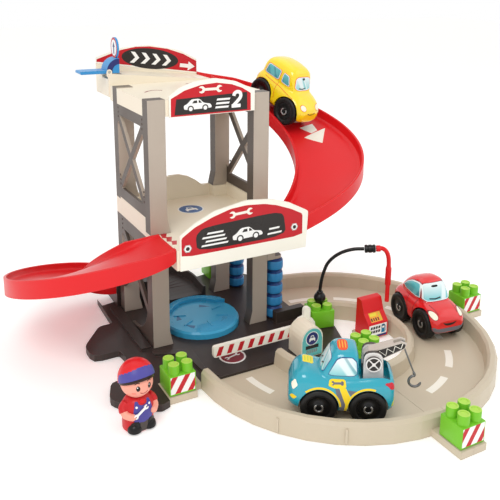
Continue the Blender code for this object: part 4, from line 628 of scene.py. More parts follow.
def slides():
    upper = slide("slide_upper_shell", (66.3, 98.3, 101.5, -91.2), (158, 60), (1.25, 1.15), (30, 10),
                  lambda t: 312 - 159 * (t - 0.1 * sin(2 * pi * t) / (2 * pi)), 13, 6, 0.3)
    slide("slide_lower_shell", (-69.3, -83, -91.2, 95), (-158, -58), (1.3, 0.55), (40, 0),
          lambda t: 153 - 113 * (t - 0.3 * sin(2 * pi * t) / (2 * pi)), 9, 13, 0.15)
    tree = body_tree(upper)
    form = Form()
    sky = floor_sheet(400)
    drape(form, [(177, 22), (204, 31), (203, 16), (190, 11)], sky, tree, edge=4)
    drape(form, [(219, 20), (195.5, -9), (174, 4.5)], sky, tree, edge=4)
    add_piece("slide_arrow", form, ["dash"], "garage")


def body_tree(thing):
    """A search tree of an object's own mesh, in millimetres."""
    mesh = thing.data
    return BVHTree.FromPolygons([v.co / MM for v in mesh.vertices],
                                [list(p.vertices) for p in mesh.polygons])


# Signs and printed marks on the tower
def side_car(size, angle, spot, wheels, wheel, tall, panes):
    """A car sign: the outline, its wheels at two spots and two window panes."""
    marks = [(turned(car_outline(size), angle, *spot), "white", 2)]
    for x, z in wheels:
        marks += [(circle(x, z, wheel), "plate", 3), (circle(x, z, tall), "white", 4)]
    return marks + [(turned(pane, angle, *corner), "plate", 3) for pane, corner in panes]


def sign_prints():
    lower = [(-64.7, 145.2), (92.6, 145.2), (92.3, 172.5), (76.8, 180.6), (56.2, 188.5), (40, 192.4),
             (16, 194.4),
             (-4, 193.0), (-26.9, 186.6), (-48.6, 178.0), (-64.7, 167.7)]
    plate = softened([(-46, 149), (-47.5, 168), (-38, 176.4), (52, 180), (66, 176.5), (70, 149)], 2, 0.16)
    marks = [(softened(lower, 1, 0.08), "sign_red", 0), (plate, "plate", 1),
             (turned(spanner(31), 3, 9.5, 186.0), "dash", 1)]
    marks += side_car(19.0, 2, (18, 154.8), ((8.0, 155.4), (28.6, 156.0)), 4.4, 2.8,
                      (([(-5, 0), (-2.6, 3.4), (1.8, 3.4), (1.8, 0)], (15.6, 162.6)),
                       ([(0, 0), (0, 3.4), (1.6, 3.4), (4.6, 0)], (19.6, 162.7))))
    for i, (start, length) in enumerate(((-41, 33), (-36, 26), (-40, 28), (-34, 20))):
        z = 153.4 + 4.6 * i
        marks.append((oblong(start, z, start + length, z + 2.1, 1.2), "white", 2))
    marks += [([(44, 153.4), (63, 154.0), (63.6, 156.2), (44.6, 155.6)], "white", 2),
              ([(46, 159.4), (60, 159.8), (60.6, 162.0), (46.6, 161.6)], "white", 2)]
    for x, z in ((-57.3, 154.5), (81.2, 157.5)):
        marks += [(circle(x, z, 5.0, 6), "silver", 1), (circle(x, z, 3.6), "white", 2),
                  (circle(x, z, 2.3), "plate", 3)]
    prints("sign_lower_print", front_sheet(LANE_FRONT_FACE), marks)
    upper = [(-51.4, 292.6), (51.4, 292.6), (51.2, 313.6), (40, 320.4), (26, 325.6), (6.3, 328.6),
             (-14.1, 327.2),
             (-34.1, 322.0), (-51.2, 313.4)]
    plate = [(-47, 294.2), (46.6, 294.2), (46.2, 315.2), (-44.6, 312.6)]
    marks = [(upper, "sign_red", 0), (plate, "plate", 1), (turned(spanner(31), 0, -1.5, 321.6), "dash", 1)]
    marks += side_car(17.0, 1, (-18, 299.6), ((-27, 300.2), (-8.6, 300.5)), 3.9, 2.4,
                      (([(-4.6, 0), (-2.4, 3.0), (1.6, 3.0), (1.6, 0)], (-20.4, 306.6)),
                       ([(0, 0), (0, 3.0), (1.4, 3.0), (4.2, 0)], (-16.9, 306.6))))
    marks += [(oblong(4 + i, 298.4 + 4.6 * i, 21 + i, 298.4 + 4.6 * i + 2.3, 1), "white",
               2) for i in range(3)]
    two = [(28.4, 311.6), (29.6, 314.6), (33.0, 316.2), (36.6, 315.2), (37.8, 312.0), (36.6, 308.6),
           (32.4, 304.2), (27.6, 299.8)]
    curve = [(v.x, v.y) for v in catmull([Vector(p) for p in two], 4)]
    marks += [(stroke(curve, 4.2), "white", 2), (stroke([(25.6, 299.6), (37.4, 299.6)], 4.2), "white", 3)]
    prints("sign_upper_print", front_sheet(UPPER_SIGN_FACE), marks)
    start = [(-79.6, 337.0), (-20, 328.2), (65.6, 315.6), (65.6, 331.4), (45.6, 342.2), (21.5, 350.4),
             (-4, 354.6), (-24, 354.8), (-45, 351.4), (-62, 346.0), (-79.2, 340.2)]
    marks = [(start, "sign_red", 0), (turned(circle(0, 0, 41.5, 48, 14.0), -7.6, -3.5, 337.6), "plate", 1)]
    chevron = [(-5.5, 7.5), (0.5, 7.5), (7.5, 0), (0.5, -7.5), (-5.5, -7.5), (1.5, 0)]
    marks += [(turned(chevron, -7.6, -27 + 15.5 * i, 340.6 - 2.1 * i), "white", 2) for i in range(4)]
    marks.append((turned(arrow(23, 13), -8, 51.6, 325.0), "white", 1))
    prints("sign_start_print", front_sheet(START_SIGN_FACE), marks)


def parking_disc(x, y, radius, ground="disc_blue", first=0):
    """A round park symbol without a letter: a car seen from the front in a ring."""
    car = [(-0.46, -0.42), (-0.46, 0.0), (-0.30, 0.10), (-0.20, 0.44), (0.20, 0.44), (0.30, 0.10),
           (0.46, 0.0),
           (0.46, -0.42), (0.30, -0.42), (0.30, -0.26), (-0.30, -0.26), (-0.30, -0.42)]
    glass = [(-0.20, 0.10), (-0.13, 0.34), (0.13, 0.34), (0.20, 0.10)]
    return [(circle(x, y, radius, 40), "white", first), (circle(x, y, radius * 0.9, 40), ground, first + 1),
            ([(x + a * radius, y + b * radius) for a, b in car], "white", first + 2),
            ([(x + a * radius, y + b * radius) for a, b in glass], ground, first + 3)]


def deck_prints():
    prints("deck_disc", floor_sheet(DECK_1), parking_disc(3, 8, 17), "garage")
    jag = [(-66.4, -62), (-58.6, -63), (-63.5, -74), (-57.0, -75.4), (-62.5, -88), (-56.6, -89.6),
           (-61.4, -101),
           (-66.2, -99.6), (-63.2, -90), (-68.0, -87.4), (-64.6, -77.2), (-68.6, -74.8)]
    prints("deck_zigzag", floor_sheet(DECK_1), [(jag, "sign_red", 0)], "garage")
    swoosh = stroke([(-57.5, 1), (-52, 7.5), (-45, 11.5), (-39, 11.4), (-33, 6.6)], 2.4)
    ticks = [stroke([(16, 48), (20, 42)], 2.6), stroke([(26, 55), (31, 44)], 2.6),
             stroke([(21, 50), (25, 46)], 2.2)]
    prints("deck_upper_marks", floor_sheet(DECK_2),
           [(swoosh, "maroon", 0)] + [(t, "maroon", 0) for t in ticks], "garage")


def frame_rivets():
    form = Form()
    inner = 63 - 16.4
    spots = []
    for edge, heights in ((inner - 3.2, (288.5, 283.0, 277.5, 189.5, 195.5, 201.5)),
                          (inner - 3.6, (141.5, 135.5, 129.5))):
        spots += [(y, z) for y in (-edge, edge) for z in heights]
    for side in (-1, 1):
        for y, z in spots:
            form.ball((side * 78.5, y, z), (0.8, 1.5, 1.5), sides=12)
    # The rivets take the taupe of the frame's sides, which is the painted shade tone of the frame plastic.
    add_piece("frame_rivets", form, ["taupe"], "garage")


def lever_prints():
    pivot = next(j for j in frame["joints"] if j["child"] == "lever")
    x = pivot["pos_m"][0] / MM + 14
    z = pivot["pos_m"][2] / MM
    for label, sheet, sign in (("front", Sheet((x, 76.5, z), X, Z), 1),
                               ("rear", Sheet((x, 100.5, z), -X, Z), -1)):
        ends = (90, 180) if sign > 0 else (90, 0)
        prints(f"lever_quarter_{label}", sheet, [(sector(0, 0, 9.4, 16.6, *ends), "navy", 0)], "lever")
    marks = [(circle(0, 0, 12.9), "sign_red", 0), (circle(0, 0, 10.4), "white", 1),
             (turned(arrow(15.5, 9.0), 90), "navy", 2)]
    prints("lever_disc_left", Sheet((x - 2.7, 88.5, 358.5), -Y, Z), marks, "lever")
    prints("lever_disc_right", Sheet((x, 88.5, 358.5), Y, Z), marks, "lever")


# Ground level: turntable grips, booth, barrier, pump, road marks
def turntable_grips():
    form = Form()

    def grip(x, y, z, size=1.0, height=0.8):
        sheet = floor_sheet(z)
        rings = []
        for s, h in ((size, -0.2), (size * 0.92, 0.3 * height), (size * 0.5, height)):
            rings.append([sheet.at(x + a, y + b, h) for a, b in circle(0, 0, s, 6)])
        form.loft(rings)
    for row in range(6):
        for k in range(54):
            x, y = polar(TABLE_X, TABLE_Y, 38.5 + row * 1.95, 32 + (k + 0.5 * (row % 2)) * 116 / 54)
            if hypot(x - TABLE_X, y - TABLE_Y - 6) > 38.0:
                grip(x, y, TABLE_TOP + TABLE_RIM)
    for row in range(9):
        radius = 26.5 + row * 2.2
        for k in range(60):
            x, y = polar(TABLE_X, TABLE_Y, radius, -122 + (k + 0.5 * (row % 2)) * 92 / 60)
            if y < -51 + (x + 20) * 0.24:
                drop = max(0.0, radius - 36) * 0.035
                grip(x, y, TABLE_TOP - drop, 0.9, 0.6)
    add_piece("turntable_grips", form, ["table_blue"], "table", smooth=60)
    # Dark wedges lie flat where the turntable has notches: painted shade of the notches.
    wedge = [(-8.0, -1.8), (8.0, -3.4), (5.6, 3.6)]
    marks = [(turned(wedge, angle + 82, *polar(TABLE_X, TABLE_Y, radius, angle)), "notch_shade_blue", 0)
             for angle, radius in ((57, 24), (-50, 31), (-139, 33), (170, 30))]
    prints("turntable_notches", floor_sheet(TABLE_TOP), marks, "table")


def rollers():
    ribs, low, high, radius = 5, 8.5, 92.0, 12.0
    pitch = (high - low) / ribs
    profile = []
    for rib in range(ribs):
        for i in range(12):
            share = i / 12
            bulge = min(1.0, sin(pi * share) / 0.78) ** 0.55 if share > 0 else 0.0
            profile.append((radius * (0.76 + 0.24 * bulge), low + pitch * (rib + share)))
    profile.append((radius * 0.76, high))

    # Grooves between the ribs take a deeper blue than the ribs: painted shade in the grooves.
    def shaded_groove(row, _):
        return 1 if min(profile[row][0], profile[row + 1][0]) < radius * 0.90 else 0

    def flutes(_, k):
        return 1.0 - 0.035 * (0.5 + 0.5 * cos(pi * k / 2))
    for where, y in (("front", -55.0), ("rear", 55.0)):
        form = Form()
        form.lathe(profile, (93.5, y, 0), sides=48, chooser=shaded_groove, shape=flutes)
        add_piece(f"wash_roller_{where}_skin", form,
                  ["roller_blue", "deep_blue"],
                  f"roller_{where}", replaces=[f"wash_roller_{where}"], smooth=50)


def booth_and_barrier_prints():
    teal = [(67.6, 9.4), (95.4, 9.4), (95.4, 31.2)] + arc(81.5, 31.4, 13.2, 0, 180, 24) + [(67.6, 31.2)]
    outer = [(66.9, 8.9), (96.1, 8.9)] + arc(81.5, 31.3, 14.3, 0, 180, 24)
    marks = [(outer, "ivory", 0), (teal, "booth_teal", 1), *parking_disc(81.2, 32.2, 8.9, "navy", 2),
             (oblong(72.4, 19.0, 90.4, 23.6), "black", 2)]
    marks += [(oblong(73.4 + 2.6 * i, 13.6, 75.0 + 2.6 * i, 18.0, 0.6), "grey", 2) for i in range(6)]
    prints("booth_print", front_sheet(-168.0), marks)
    stripes = [(oblong(x, 23.6, x + 6.0, 34.4, 4.0), "sign_red",
                0) for x in [-31.0 + 13.6 * i for i in range(8)]]
    prints("barrier_stripes", front_sheet(-139.1), stripes, "barrier")
    back = [([(-a, b) for a, b in reversed(o)], c, n) for o, c, n in stripes]
    prints("barrier_stripes_rear", Sheet((0, -134.1, 0), -X, Z), back, "barrier")


def pump_prints():
    slope = atan2(11, 10)
    up = Vector((0, cos(slope), sin(slope)))
    centre = Vector((186.5, -154.5, 29.5)) + X.cross(up) * -1.2
    marks = [(tapered(9.3, -6.3, 9.3, 6.3), "screen", 0), (oblong(-8.0, 1.2, 2.6, 5.0), "patch_yellow", 1)]
    marks += [(oblong(-8 + 3.4 * i, -5.0, -6 + 3.4 * i, -1.0), "maroon" if i % 2 else "plate", 1)
              for i in range(4)]
    marks += [(oblong(5.4, -4.6 + 3.4 * i, 7.8, -2.6 + 3.4 * i), "lime", 1) for i in range(3)]
    prints("pump_screen", Sheet(centre, X, up), marks, "garage")
    marks = [(oblong(172.6, 4.4, 200.4, 21.4), "white", 0)]
    marks += [(oblong(x, z, x + 3.0, z + 3.4, 0.6), "plate", 1)
              for x in [174.6 + 4.0 * i for i in range(4)] for z in (15.6, 10.4)]
    marks += [(oblong(172.6, 4.4, 200.4, 7.2), "navy", 1),
              (oblong(192.0, 8.6, 197.4, 18.8), "pump_blue", 1),
              (circle(194.7, 18.6, 2.7, 24, 1.6), "pump_blue", 1),
              (oblong(193.0, 14.8, 196.4, 17.4), "white", 2),
              (stroke([(197.4, 17.2), (198.9, 16.0), (198.9, 11.2), (197.5, 10.6)], 0.7), "pump_blue", 1)]
    prints("pump_front", front_sheet(-160.0), marks, "garage")


def ground_prints():
    marks = [(circle(-2, -123, 16.2, 48), "white", 0), (circle(-2, -123, 14.0, 48), "maroon", 1),
             (turned(spanner(22), 14, -2, -123), "white", 2)]
    prints("base_spanner", floor_sheet(8.0), marks, "garage")
    dashes = [(sector(RING_X, RING_Y, 128.5, 137.0, middle - 8.5, middle + 8.5), "dash", 0)
              for middle in (-166.5, -124.0, -68.5, -41.0, -11.5, 17.0, 49.5, 77.5)]
    prints("road_dashes", floor_sheet(ROAD_TOP), dashes, "garage")


# Bricks
def brick(node, x, y, turn=0.0, stud=11.0, ribbon=False):
    floor, width, depth, height, pitch = 8.3, 30.7, 29.9, 23.2, 15.2
    inset = 0.14 if ribbon else 0.0
    form = Form()
    form.block((-width / 2, -depth / 2 + inset, 0), (width / 2, depth / 2, height))
    box = add_piece(f"{node}_block", form, ["green"], "garage",
                    Matrix.Translation(Vector((x, y, floor)) * MM) @ Matrix.Rotation(radians(turn), 4,
                                                                                     "Z"),
                    replaces=[node], bevel=0.7, smooth=50)
    form = Form()
    top = height + stud
    profile = [(6.25, height - 0.5), (6.25, top - 0.7), (6.05, top - 0.2), (5.6, top), (4.5, top),
               (4.2, top - 0.25), (4.1, top - 0.9), (0.1, top - 0.9)]
    # The rim and hollow at the top of each stud are a lighter green than the brick: painted light on the
    # stud tops.
    for sx in (-1, 1):
        for sy in (-1, 1):
            form.lathe(profile, (sx * pitch / 2, sy * pitch / 2, 0), sides=32,
                       chooser=lambda row, _: 1 if row >= 2 else 0)
    add_piece(f"{node}_studs", form, ["green", "lit_stud_green"], "garage",
                      box.matrix_world.copy(), smooth=40)
    if ribbon:
        half, low, high = width / 2 - 1.2, 2.2, 22.4
        sheet = Sheet((0, -depth / 2 + inset, 0), X, Z)
        form = Form()
        form.plate(tapered(half, low, half, high), sheet, -0.05, 0.05, 0)
        for start in (-24.0, -9.4, 5.2):
            form.plate(clip(oblong(start, low, start + 6.4, high, 12.0), -half, half), sheet, -0.05, 0.12,
                       1)
        add_piece(f"{node}_ribbon", form, ["white", "sign_red"], "garage",
                  box.matrix_world.copy())


def clip(points, low, high):
    """Cuts a convex outline to a range along its first axis."""
    for limit, keep in ((low, 1), (high, -1)):
        kept = []
        for i, p in enumerate(points):
            q = points[(i + 1) % len(points)]
            inside, next_inside = keep * (p[0] - limit) >= 0, keep * (q[0] - limit) >= 0
            if inside:
                kept.append(p)
            if inside != next_inside:
                t = (limit - p[0]) / (q[0] - p[0])
                kept.append((limit, p[1] + (q[1] - p[1]) * t))
        points = kept
    return points


def bricks():
    brick("brick_front", 128, -366, ribbon=True)
    brick("brick_right", 337, -157, ribbon=True)
    brick("brick_left", -84.5, -153.5, ribbon=True)
    brick("brick_centre", 136, -101, -12, 6.7)
    brick("brick_inner", 128, -207.7)
    brick("brick_rear", 82.5, 105)


# Hose arm
def hose_arm():
    centre = Vector((136, -101, 44.75))
    stem, neck, ball = 3.9, 4.2, 7.7
    low = degrees(acos(stem / ball))
    high = degrees(acos(neck / ball))
    profile = [(stem, 31.8)] + [(ball * cos(radians(a)),
                                 centre.z + ball * sin(radians(a)))
                                for a in [-low + (low + high) * i / 16 for i in range(17)]]
    profile += [(neck, centre.z + 8.1), (3.6, centre.z + 8.8)]
    form = Form()
    form.lathe(profile, (centre.x, centre.y, 0), sides=36)
    rubber = "black"
    add_piece("hose_plug_skin", form, [rubber], "hose_arm", replaces=["hose_plug"])
    route = [centre + Vector((0, 0, 9.1))]
    route += [Vector(p) for p in ((136.5, -101.3, 60), (137.4, -102.0, 69.5), (139.4, -103.4, 80),
                                  (143.0, -106.0, 92), (149.6, -110.8, 101.8), (158.5, -117.2, 109.1),
                                  (169.4, -125.0, 113.6), (180.0, -132.7, 114.9))]
    line = catmull(route, 6)
    form = Form()
    form.tube(line, 2.2, 14)
    add_piece("hose_tube_skin", form, [rubber], "hose_arm", replaces=["hose_tube"])
    end = line[-1]
    along = (line[-1] - line[-2]).normalized()
    first = end + along * 0.3
    form = Form()
    stations = [(0.0, 4.0), (0.6, 5.0), (1.4, 5.2), (3.4, 5.2), (3.8, 4.6), (4.8, 4.6), (5.2, 5.2),
                (8.8, 5.2),
                (9.2, 4.6), (10.2, 4.6), (10.6, 5.2), (12.8, 5.2), (13.5, 5.0), (14.0, 4.0)]
    form.tube([first + along * s for s, _ in stations], [r for _, r in stations], 28)
    add_piece("hose_coupler_skin", form, [rubber], "hose_arm", replaces=["hose_coupler"])
    start = first + along * 14.3
    route = [start + along * 2, start + along * 8]
    route += [Vector(p) for p in ((202.5, -148.7, 113), (205.0, -150.3, 106), (205.8, -151.0, 96),
                                  (205.8, -151.0, 78), (205.8, -151.0, 64), (205.8, -151.0, 45))]
    line = catmull(route, 6)
    form = Form()
    form.tube(line, [3.8 if 92 > p.z > 68 else 2.8 for p in line], 16)
    form.tube([start, start + along * 0.8, start + along * 5.2, start + along * 6.0],
              [3.4, 4.05, 4.05, 3.4], 24)
    add_piece("fuel_nozzle_skin", form, ["slide_red"], "hose_arm",
              replaces=["fuel_nozzle"])


# Vehicles
def vehicle_place(prefix):
    """A vehicle's own frame, in metres, from its two axles."""
    axles = {j["child"]: j for j in frame["joints"]}
    front = Vector(axles[f"{prefix}_front_wheels"]["pos_m"])
    rear = Vector(axles[f"{prefix}_rear_wheels"]["pos_m"])
    forward = (front - rear).normalized()
    left = Vector(axles[f"{prefix}_front_wheels"]["axis"]).normalized()
    up = forward.cross(left)
    if up.z < 0:
        left, up = -left, -up
    basis = Matrix((forward, left, up)).transposed().to_4x4()
    return Matrix.Translation((front + rear) / 2 - up * WHEEL_RADIUS * MM) @ basis


def body_rings(stations, sides=36, steps=4):
    rows = catmull([Vector((x, half, low, high)) for x, half, low, high, _ in stations], steps)
    squares = catmull([Vector((square, 0, 0, 0)) for *_, square in stations], steps)
    rings = []
    for (x, half, low, high), square in zip(rows, squares):
        power = 2 / square[0]
        middle, tall = (low + high) / 2, (high - low) / 2
        ring = []
        for k in range(sides):
            a = 2 * pi * (k + 0.5) / sides
            c, s = cos(a), sin(a)
            ring.append((x, half * copysign(abs(c) ** power, c),
                         middle + tall * copysign(abs(s) ** power, s)))
        rings.append(ring)
    return rings


def vehicle_body(name, lofts, material, pan, extra_cuts=()):
    """Melts the lofts into one smooth body, then cuts its wheel arches and pan channel."""
    form = Form()
    for stations in lofts:
        form.loft(body_rings(stations))
    piece = mesh_object(name, form, [material])
    melted(piece, 1.15, 7)
    cutters = []
    for x in (-HALF_BASE, HALF_BASE):
        arch = Form()
        arch.lathe([(20.5, -40), (20.5, 40)], (x, 0, WHEEL_RADIUS), Y, 64)
        cutters.append(arch)
    channel = Form()
    channel.block((-pan / 2 - 0.3, -13.3, -10), (pan / 2 + 0.3, 13.3, 14.3))
    cutters.append(channel)
    for low, high in extra_cuts:
        bed = Form()
        bed.block(low, high)
        cutters.append(bed)
    for number, cutter in enumerate(cutters):
        tool = mesh_object(f"{name}_cut_{number}", cutter)
        step = piece.modifiers.new("cut", "BOOLEAN")
        step.operation = "DIFFERENCE"
        step.solver = "EXACT"
        step.object = tool
        evaluated(piece)
        bpy.data.objects.remove(tool)
    if not piece.data.materials:
        piece.data.materials.append(surface(material))
    for polygon in piece.data.polygons:
        polygon.material_index = 0
    return piece


def wheels(prefix, name, place, x):
    """Two treaded wheels with their axle, and on each hub a silver arc that is a painted highlight on the
    moulded hub ring.
    """
    form = Form()
    profile = [(2.0, 15.2), (12.0, 15.2), (17.2, 15.6), (18.6, 16.6), (19.0, 18.0), (19.0, 20.0),
               (19.0, 22.2),
               (19.0, 24.5), (18.6, 25.8), (17.4, 26.8), (15.5, 27.0), (13.4, 26.6), (12.4, 25.4),
               (11.8, 25.0),
               (5.4, 25.2), (4.6, 25.9), (3.0, 26.2), (0.1, 26.2)]

    def tread(row, k):
        return 0.966 if 4 <= row <= 7 and (k + (row % 2)) % 4 == 0 else 1.0

    def hub(row, _):
        return 1 if row >= 12 else 0
    for side in (-1, 1):
        form.lathe([(r, side * y) for r, y in profile], (x, 0, WHEEL_RADIUS), Y, 96, 0, hub, tread)
    form.lathe([(2.0, -16), (2.0, 16)], (x, 0, WHEEL_RADIUS), Y, 16, 2)
    body = f"{prefix}_{name}_wheels"
    node = f"{'truck' if prefix == 'truck' else prefix + '_car'}_wheels_{name}"
    add_piece(f"{node}_tyres", form, ["tyre",
                                      "hub", "grey"],
              body, place, [node], smooth=40)
    # The silver arc on each hub is a painted highlight: the glint of light on the hub's moulded ring, made
    # as a metallic plate.
    for side, label in ((-1, "right"), (1, "left")):
        sheet = Sheet((x, side * 26.1, WHEEL_RADIUS), X * side * -1, Z)
        sheet.out = Y * side
        form = Form()
        form.plate(sector(0, 0, 3.2, 4.9, 125, 415, 28), sheet, -1.0, 0.4)
        add_piece(f"{node}_hub_glint_{label}", form, ["silver"], body, place,
                  bevel=0.2)


CAR_BODY = [(-47, 12, 20, 34, 2.5), (-44.5, 20, 14, 41, 3), (-36, 24.5, 10.5, 47, 3.2),
            (-18, 26, 10, 48, 3.4),
            (0, 26, 10, 47, 3.4), (18, 26, 10, 46, 3.4), (34, 25.5, 10.5, 43, 3.2), (44.5, 24, 12.5, 38, 3),
            (49.5, 19, 15.5, 32, 2.6)]
CAR_CABIN = [(-36, 14, 34, 44, 2.5), (-30, 18.5, 34, 56, 2.8), (-18, 21, 34, 66, 3),
             (-4, 21.5, 34, 69.5, 3),
             (8, 21, 34, 67, 3), (18, 19, 34, 55, 2.8), (26, 15, 34, 43, 2.5)]
WAGON_BODY = [(-47, 14, 18, 38, 2.8), (-44, 21, 13, 45, 3), (-34, 24.5, 10.5, 50, 3.2),
              (-16, 26, 10, 50, 3.4),
              (0, 26, 10, 49, 3.4), (18, 26, 10, 48, 3.4), (34, 25.5, 10.5, 44, 3.2), (45, 22.5, 13, 37, 3),
              (50.5, 15, 16, 31, 2.5)]
WAGON_CABIN = [(-43, 15, 36, 60, 3), (-38, 19.5, 36, 68, 3.2), (-24, 21.5, 36, 73.5, 3.2),
               (-6, 22, 36, 75, 3.2),
               (8, 21.5, 36, 73, 3.2), (14, 20, 36, 66, 3), (24, 17, 36, 46, 2.8)]
TRUCK_BODY = [(-52, 16, 18, 44, 3), (-49.5, 22, 13, 51, 3.2), (-40, 24.5, 10.5, 54, 3.6),
              (-14, 25.5, 10, 52, 3.6),
              (6, 25.5, 10, 51, 3.6), (24, 25.5, 10, 53, 3.6), (40, 25.5, 10.5, 57, 3.4),
              (50, 23, 13, 52, 3.2),
              (56, 16, 16, 40, 2.8)]
TRUCK_CABIN = [(-14.5, 18.5, 38, 72, 3.4), (-12, 20.5, 38, 76.5, 3.4), (0, 21, 38, 78, 3.4),
               (10, 20.5, 38, 76, 3.2),
               (18, 19, 38, 64, 3.0), (26, 16, 38, 50, 2.8)]

LEFT = Sheet((0, 60, 0), -X, Z)
RIGHT = Sheet((0, -60, 0), X, Z)
NOSE = Sheet((80, 0, 0), Y, Z)
TAIL = Sheet((-80, 0, 0), -Y, Z)
ABOVE = Sheet((0, 0, 120), X, Y)


def vehicle(prefix, node, lofts, colour, pan, extra_cuts=()):
    """Builds a vehicle's body; returns its place and a search tree of the body."""
    place = vehicle_place(prefix)
    body = vehicle_body(f"{node}_shell", lofts, colour, pan, extra_cuts)
    tree = body_tree(body)
    settle(body, node, place, [f"{node}_body"], 30)
    return place, tree


def marks_and_wheels(prefix, node, layers, tree, place):
    patches(f"{node}_marks", layers, tree, node, place)
    for where, x in (("rear", -HALF_BASE), ("front", HALF_BASE)):
        wheels(prefix, where, place, x)


def grown(outline, by):
    """An outline pushed outwards from its middle by about a length."""
    cx = sum(p[0] for p in outline) / len(outline)
    cy = sum(p[1] for p in outline) / len(outline)
    result = []
    for a, b in outline:
        away = hypot(a - cx, b - cy)
        result.append((cx + (a - cx) * (away + by) / away, cy + (b - cy) * (away + by) / away))
    return result


def pane(outline, where, *steps):
    """Layers of one outline, each a growth, a material and a lift."""
    return [(grown(outline, by), where, kind, lift) for by, kind, lift in steps]


def both_sides(form, outline, tree, lift, slot):
    """Drapes a side outline, given as (x, z), on the left and the right."""
    drape(form, [(-x, z) for x, z in outline], LEFT, tree, lift, slot=slot)
    drape(form, outline, RIGHT, tree, lift, slot=slot)


def patches(name, layers, tree, body, place):
    """Draped marks: layers are (outline, where, material, lift)."""
    kinds, form = [], Form()
    for outline, where, material, lift in layers:
        if material not in kinds:
            kinds.append(material)
        number = kinds.index(material)
        if where == "sides":
            both_sides(form, outline, tree, lift, number)
        else:
            drape(form, outline, where, tree, lift, slot=number)
    return add_piece(name, form, kinds, body, place, smooth=50)


def red_car():
    place, tree = vehicle("red", "red_car", [CAR_BODY, CAR_CABIN], "car_red", 76)
    screen = softened([(-19.6, 46.5), (19.6, 46.5), (16.2, 64.5), (-16.2, 64.5)], 2, 0.12)
    glass = window("red_screen", (0, 0.9, -0.45), -14.0, 47, 64, "glass_white", "glass_teal", "glass_teal")
    side_glass = window("red_side", (0.85, 0, -0.5), -24.0, 46, 62, "glass_teal", "glass_deep")
    dark, edge = "maroon", "glass_white"
    side = softened([(-25.5, 51.5), (-16, 60.0), (-7, 64.2), (3, 65.2), (8.6, 63.6), (11.6, 55),
                     (12.4, 47.2)], 1, 0.2)
    layers = [*pane(screen, NOSE, (1.3, dark, 0.12), (0.6, edge, 0.2), (-0.8, glass, 0.28)),
              (softened([(-4.6, 60.4), (4.6, 60.4), (4.6, 62.6), (-4.6, 62.6)], 1), NOSE, "black", 0.36),
              (stroke([(-12, 49.2), (-4, 48.4), (4, 49.4)], 1.3), NOSE, "black", 0.36),
              *pane(side, "sides", (1.3, dark, 0.12), (0.6, edge, 0.2), (-0.9, side_glass, 0.28)),
              (softened([(-11, 57.5), (11, 57.5), (14, 47), (-14, 47)], 2, 0.16), TAIL, side_glass, 0.2)]
    for side_sign in (-1, 1):
        layers += [(circle(side_sign * 19.0, 36.4, 4.2, 28), NOSE, dark, 0.10),
                   (circle(side_sign * 19.0, 36.4, 3.6, 28), NOSE, "lamp", 0.30),
                   (circle(side_sign * 16.0, 32.0, 3.0, 20), TAIL, "tail_red", 0.25)]
    grille = softened([(-10.5, 29.4), (-5, 27.6), (5, 27.6), (10.5, 29.4), (6.5, 25.4), (0, 24.2),
                       (-6.5, 25.4)], 1)
    layers.append((grille, NOSE, "plate", 0.2))
    layers.append((softened([(-22.5, 24.0), (-23.4, 18.6), (-18, 16.4), (18, 16.4), (23.4, 18.6),
                             (22.5, 24.0), (16, 21.6), (-16, 21.6)], 1, 0.15), NOSE,
                   "trim_grey", 0.35))
    layers.append((stroke([(9.6, 45.6), (7.6, 36), (3.6, 24.6)], 0.7), "sides", dark, 0.12))
    layers.append((stroke([(-9.0, 45.6), (-7.6, 36), (-4.0, 24.6)], 0.7), "sides", dark, 0.12))
    for y in (-13, 13):
        layers.append((stroke([(44.0, y * 1.05), (36, y * 1.12), (26, y * 1.22)], 0.8), ABOVE, dark, 0.10))
    marks_and_wheels("red", "red_car", layers, tree, place)


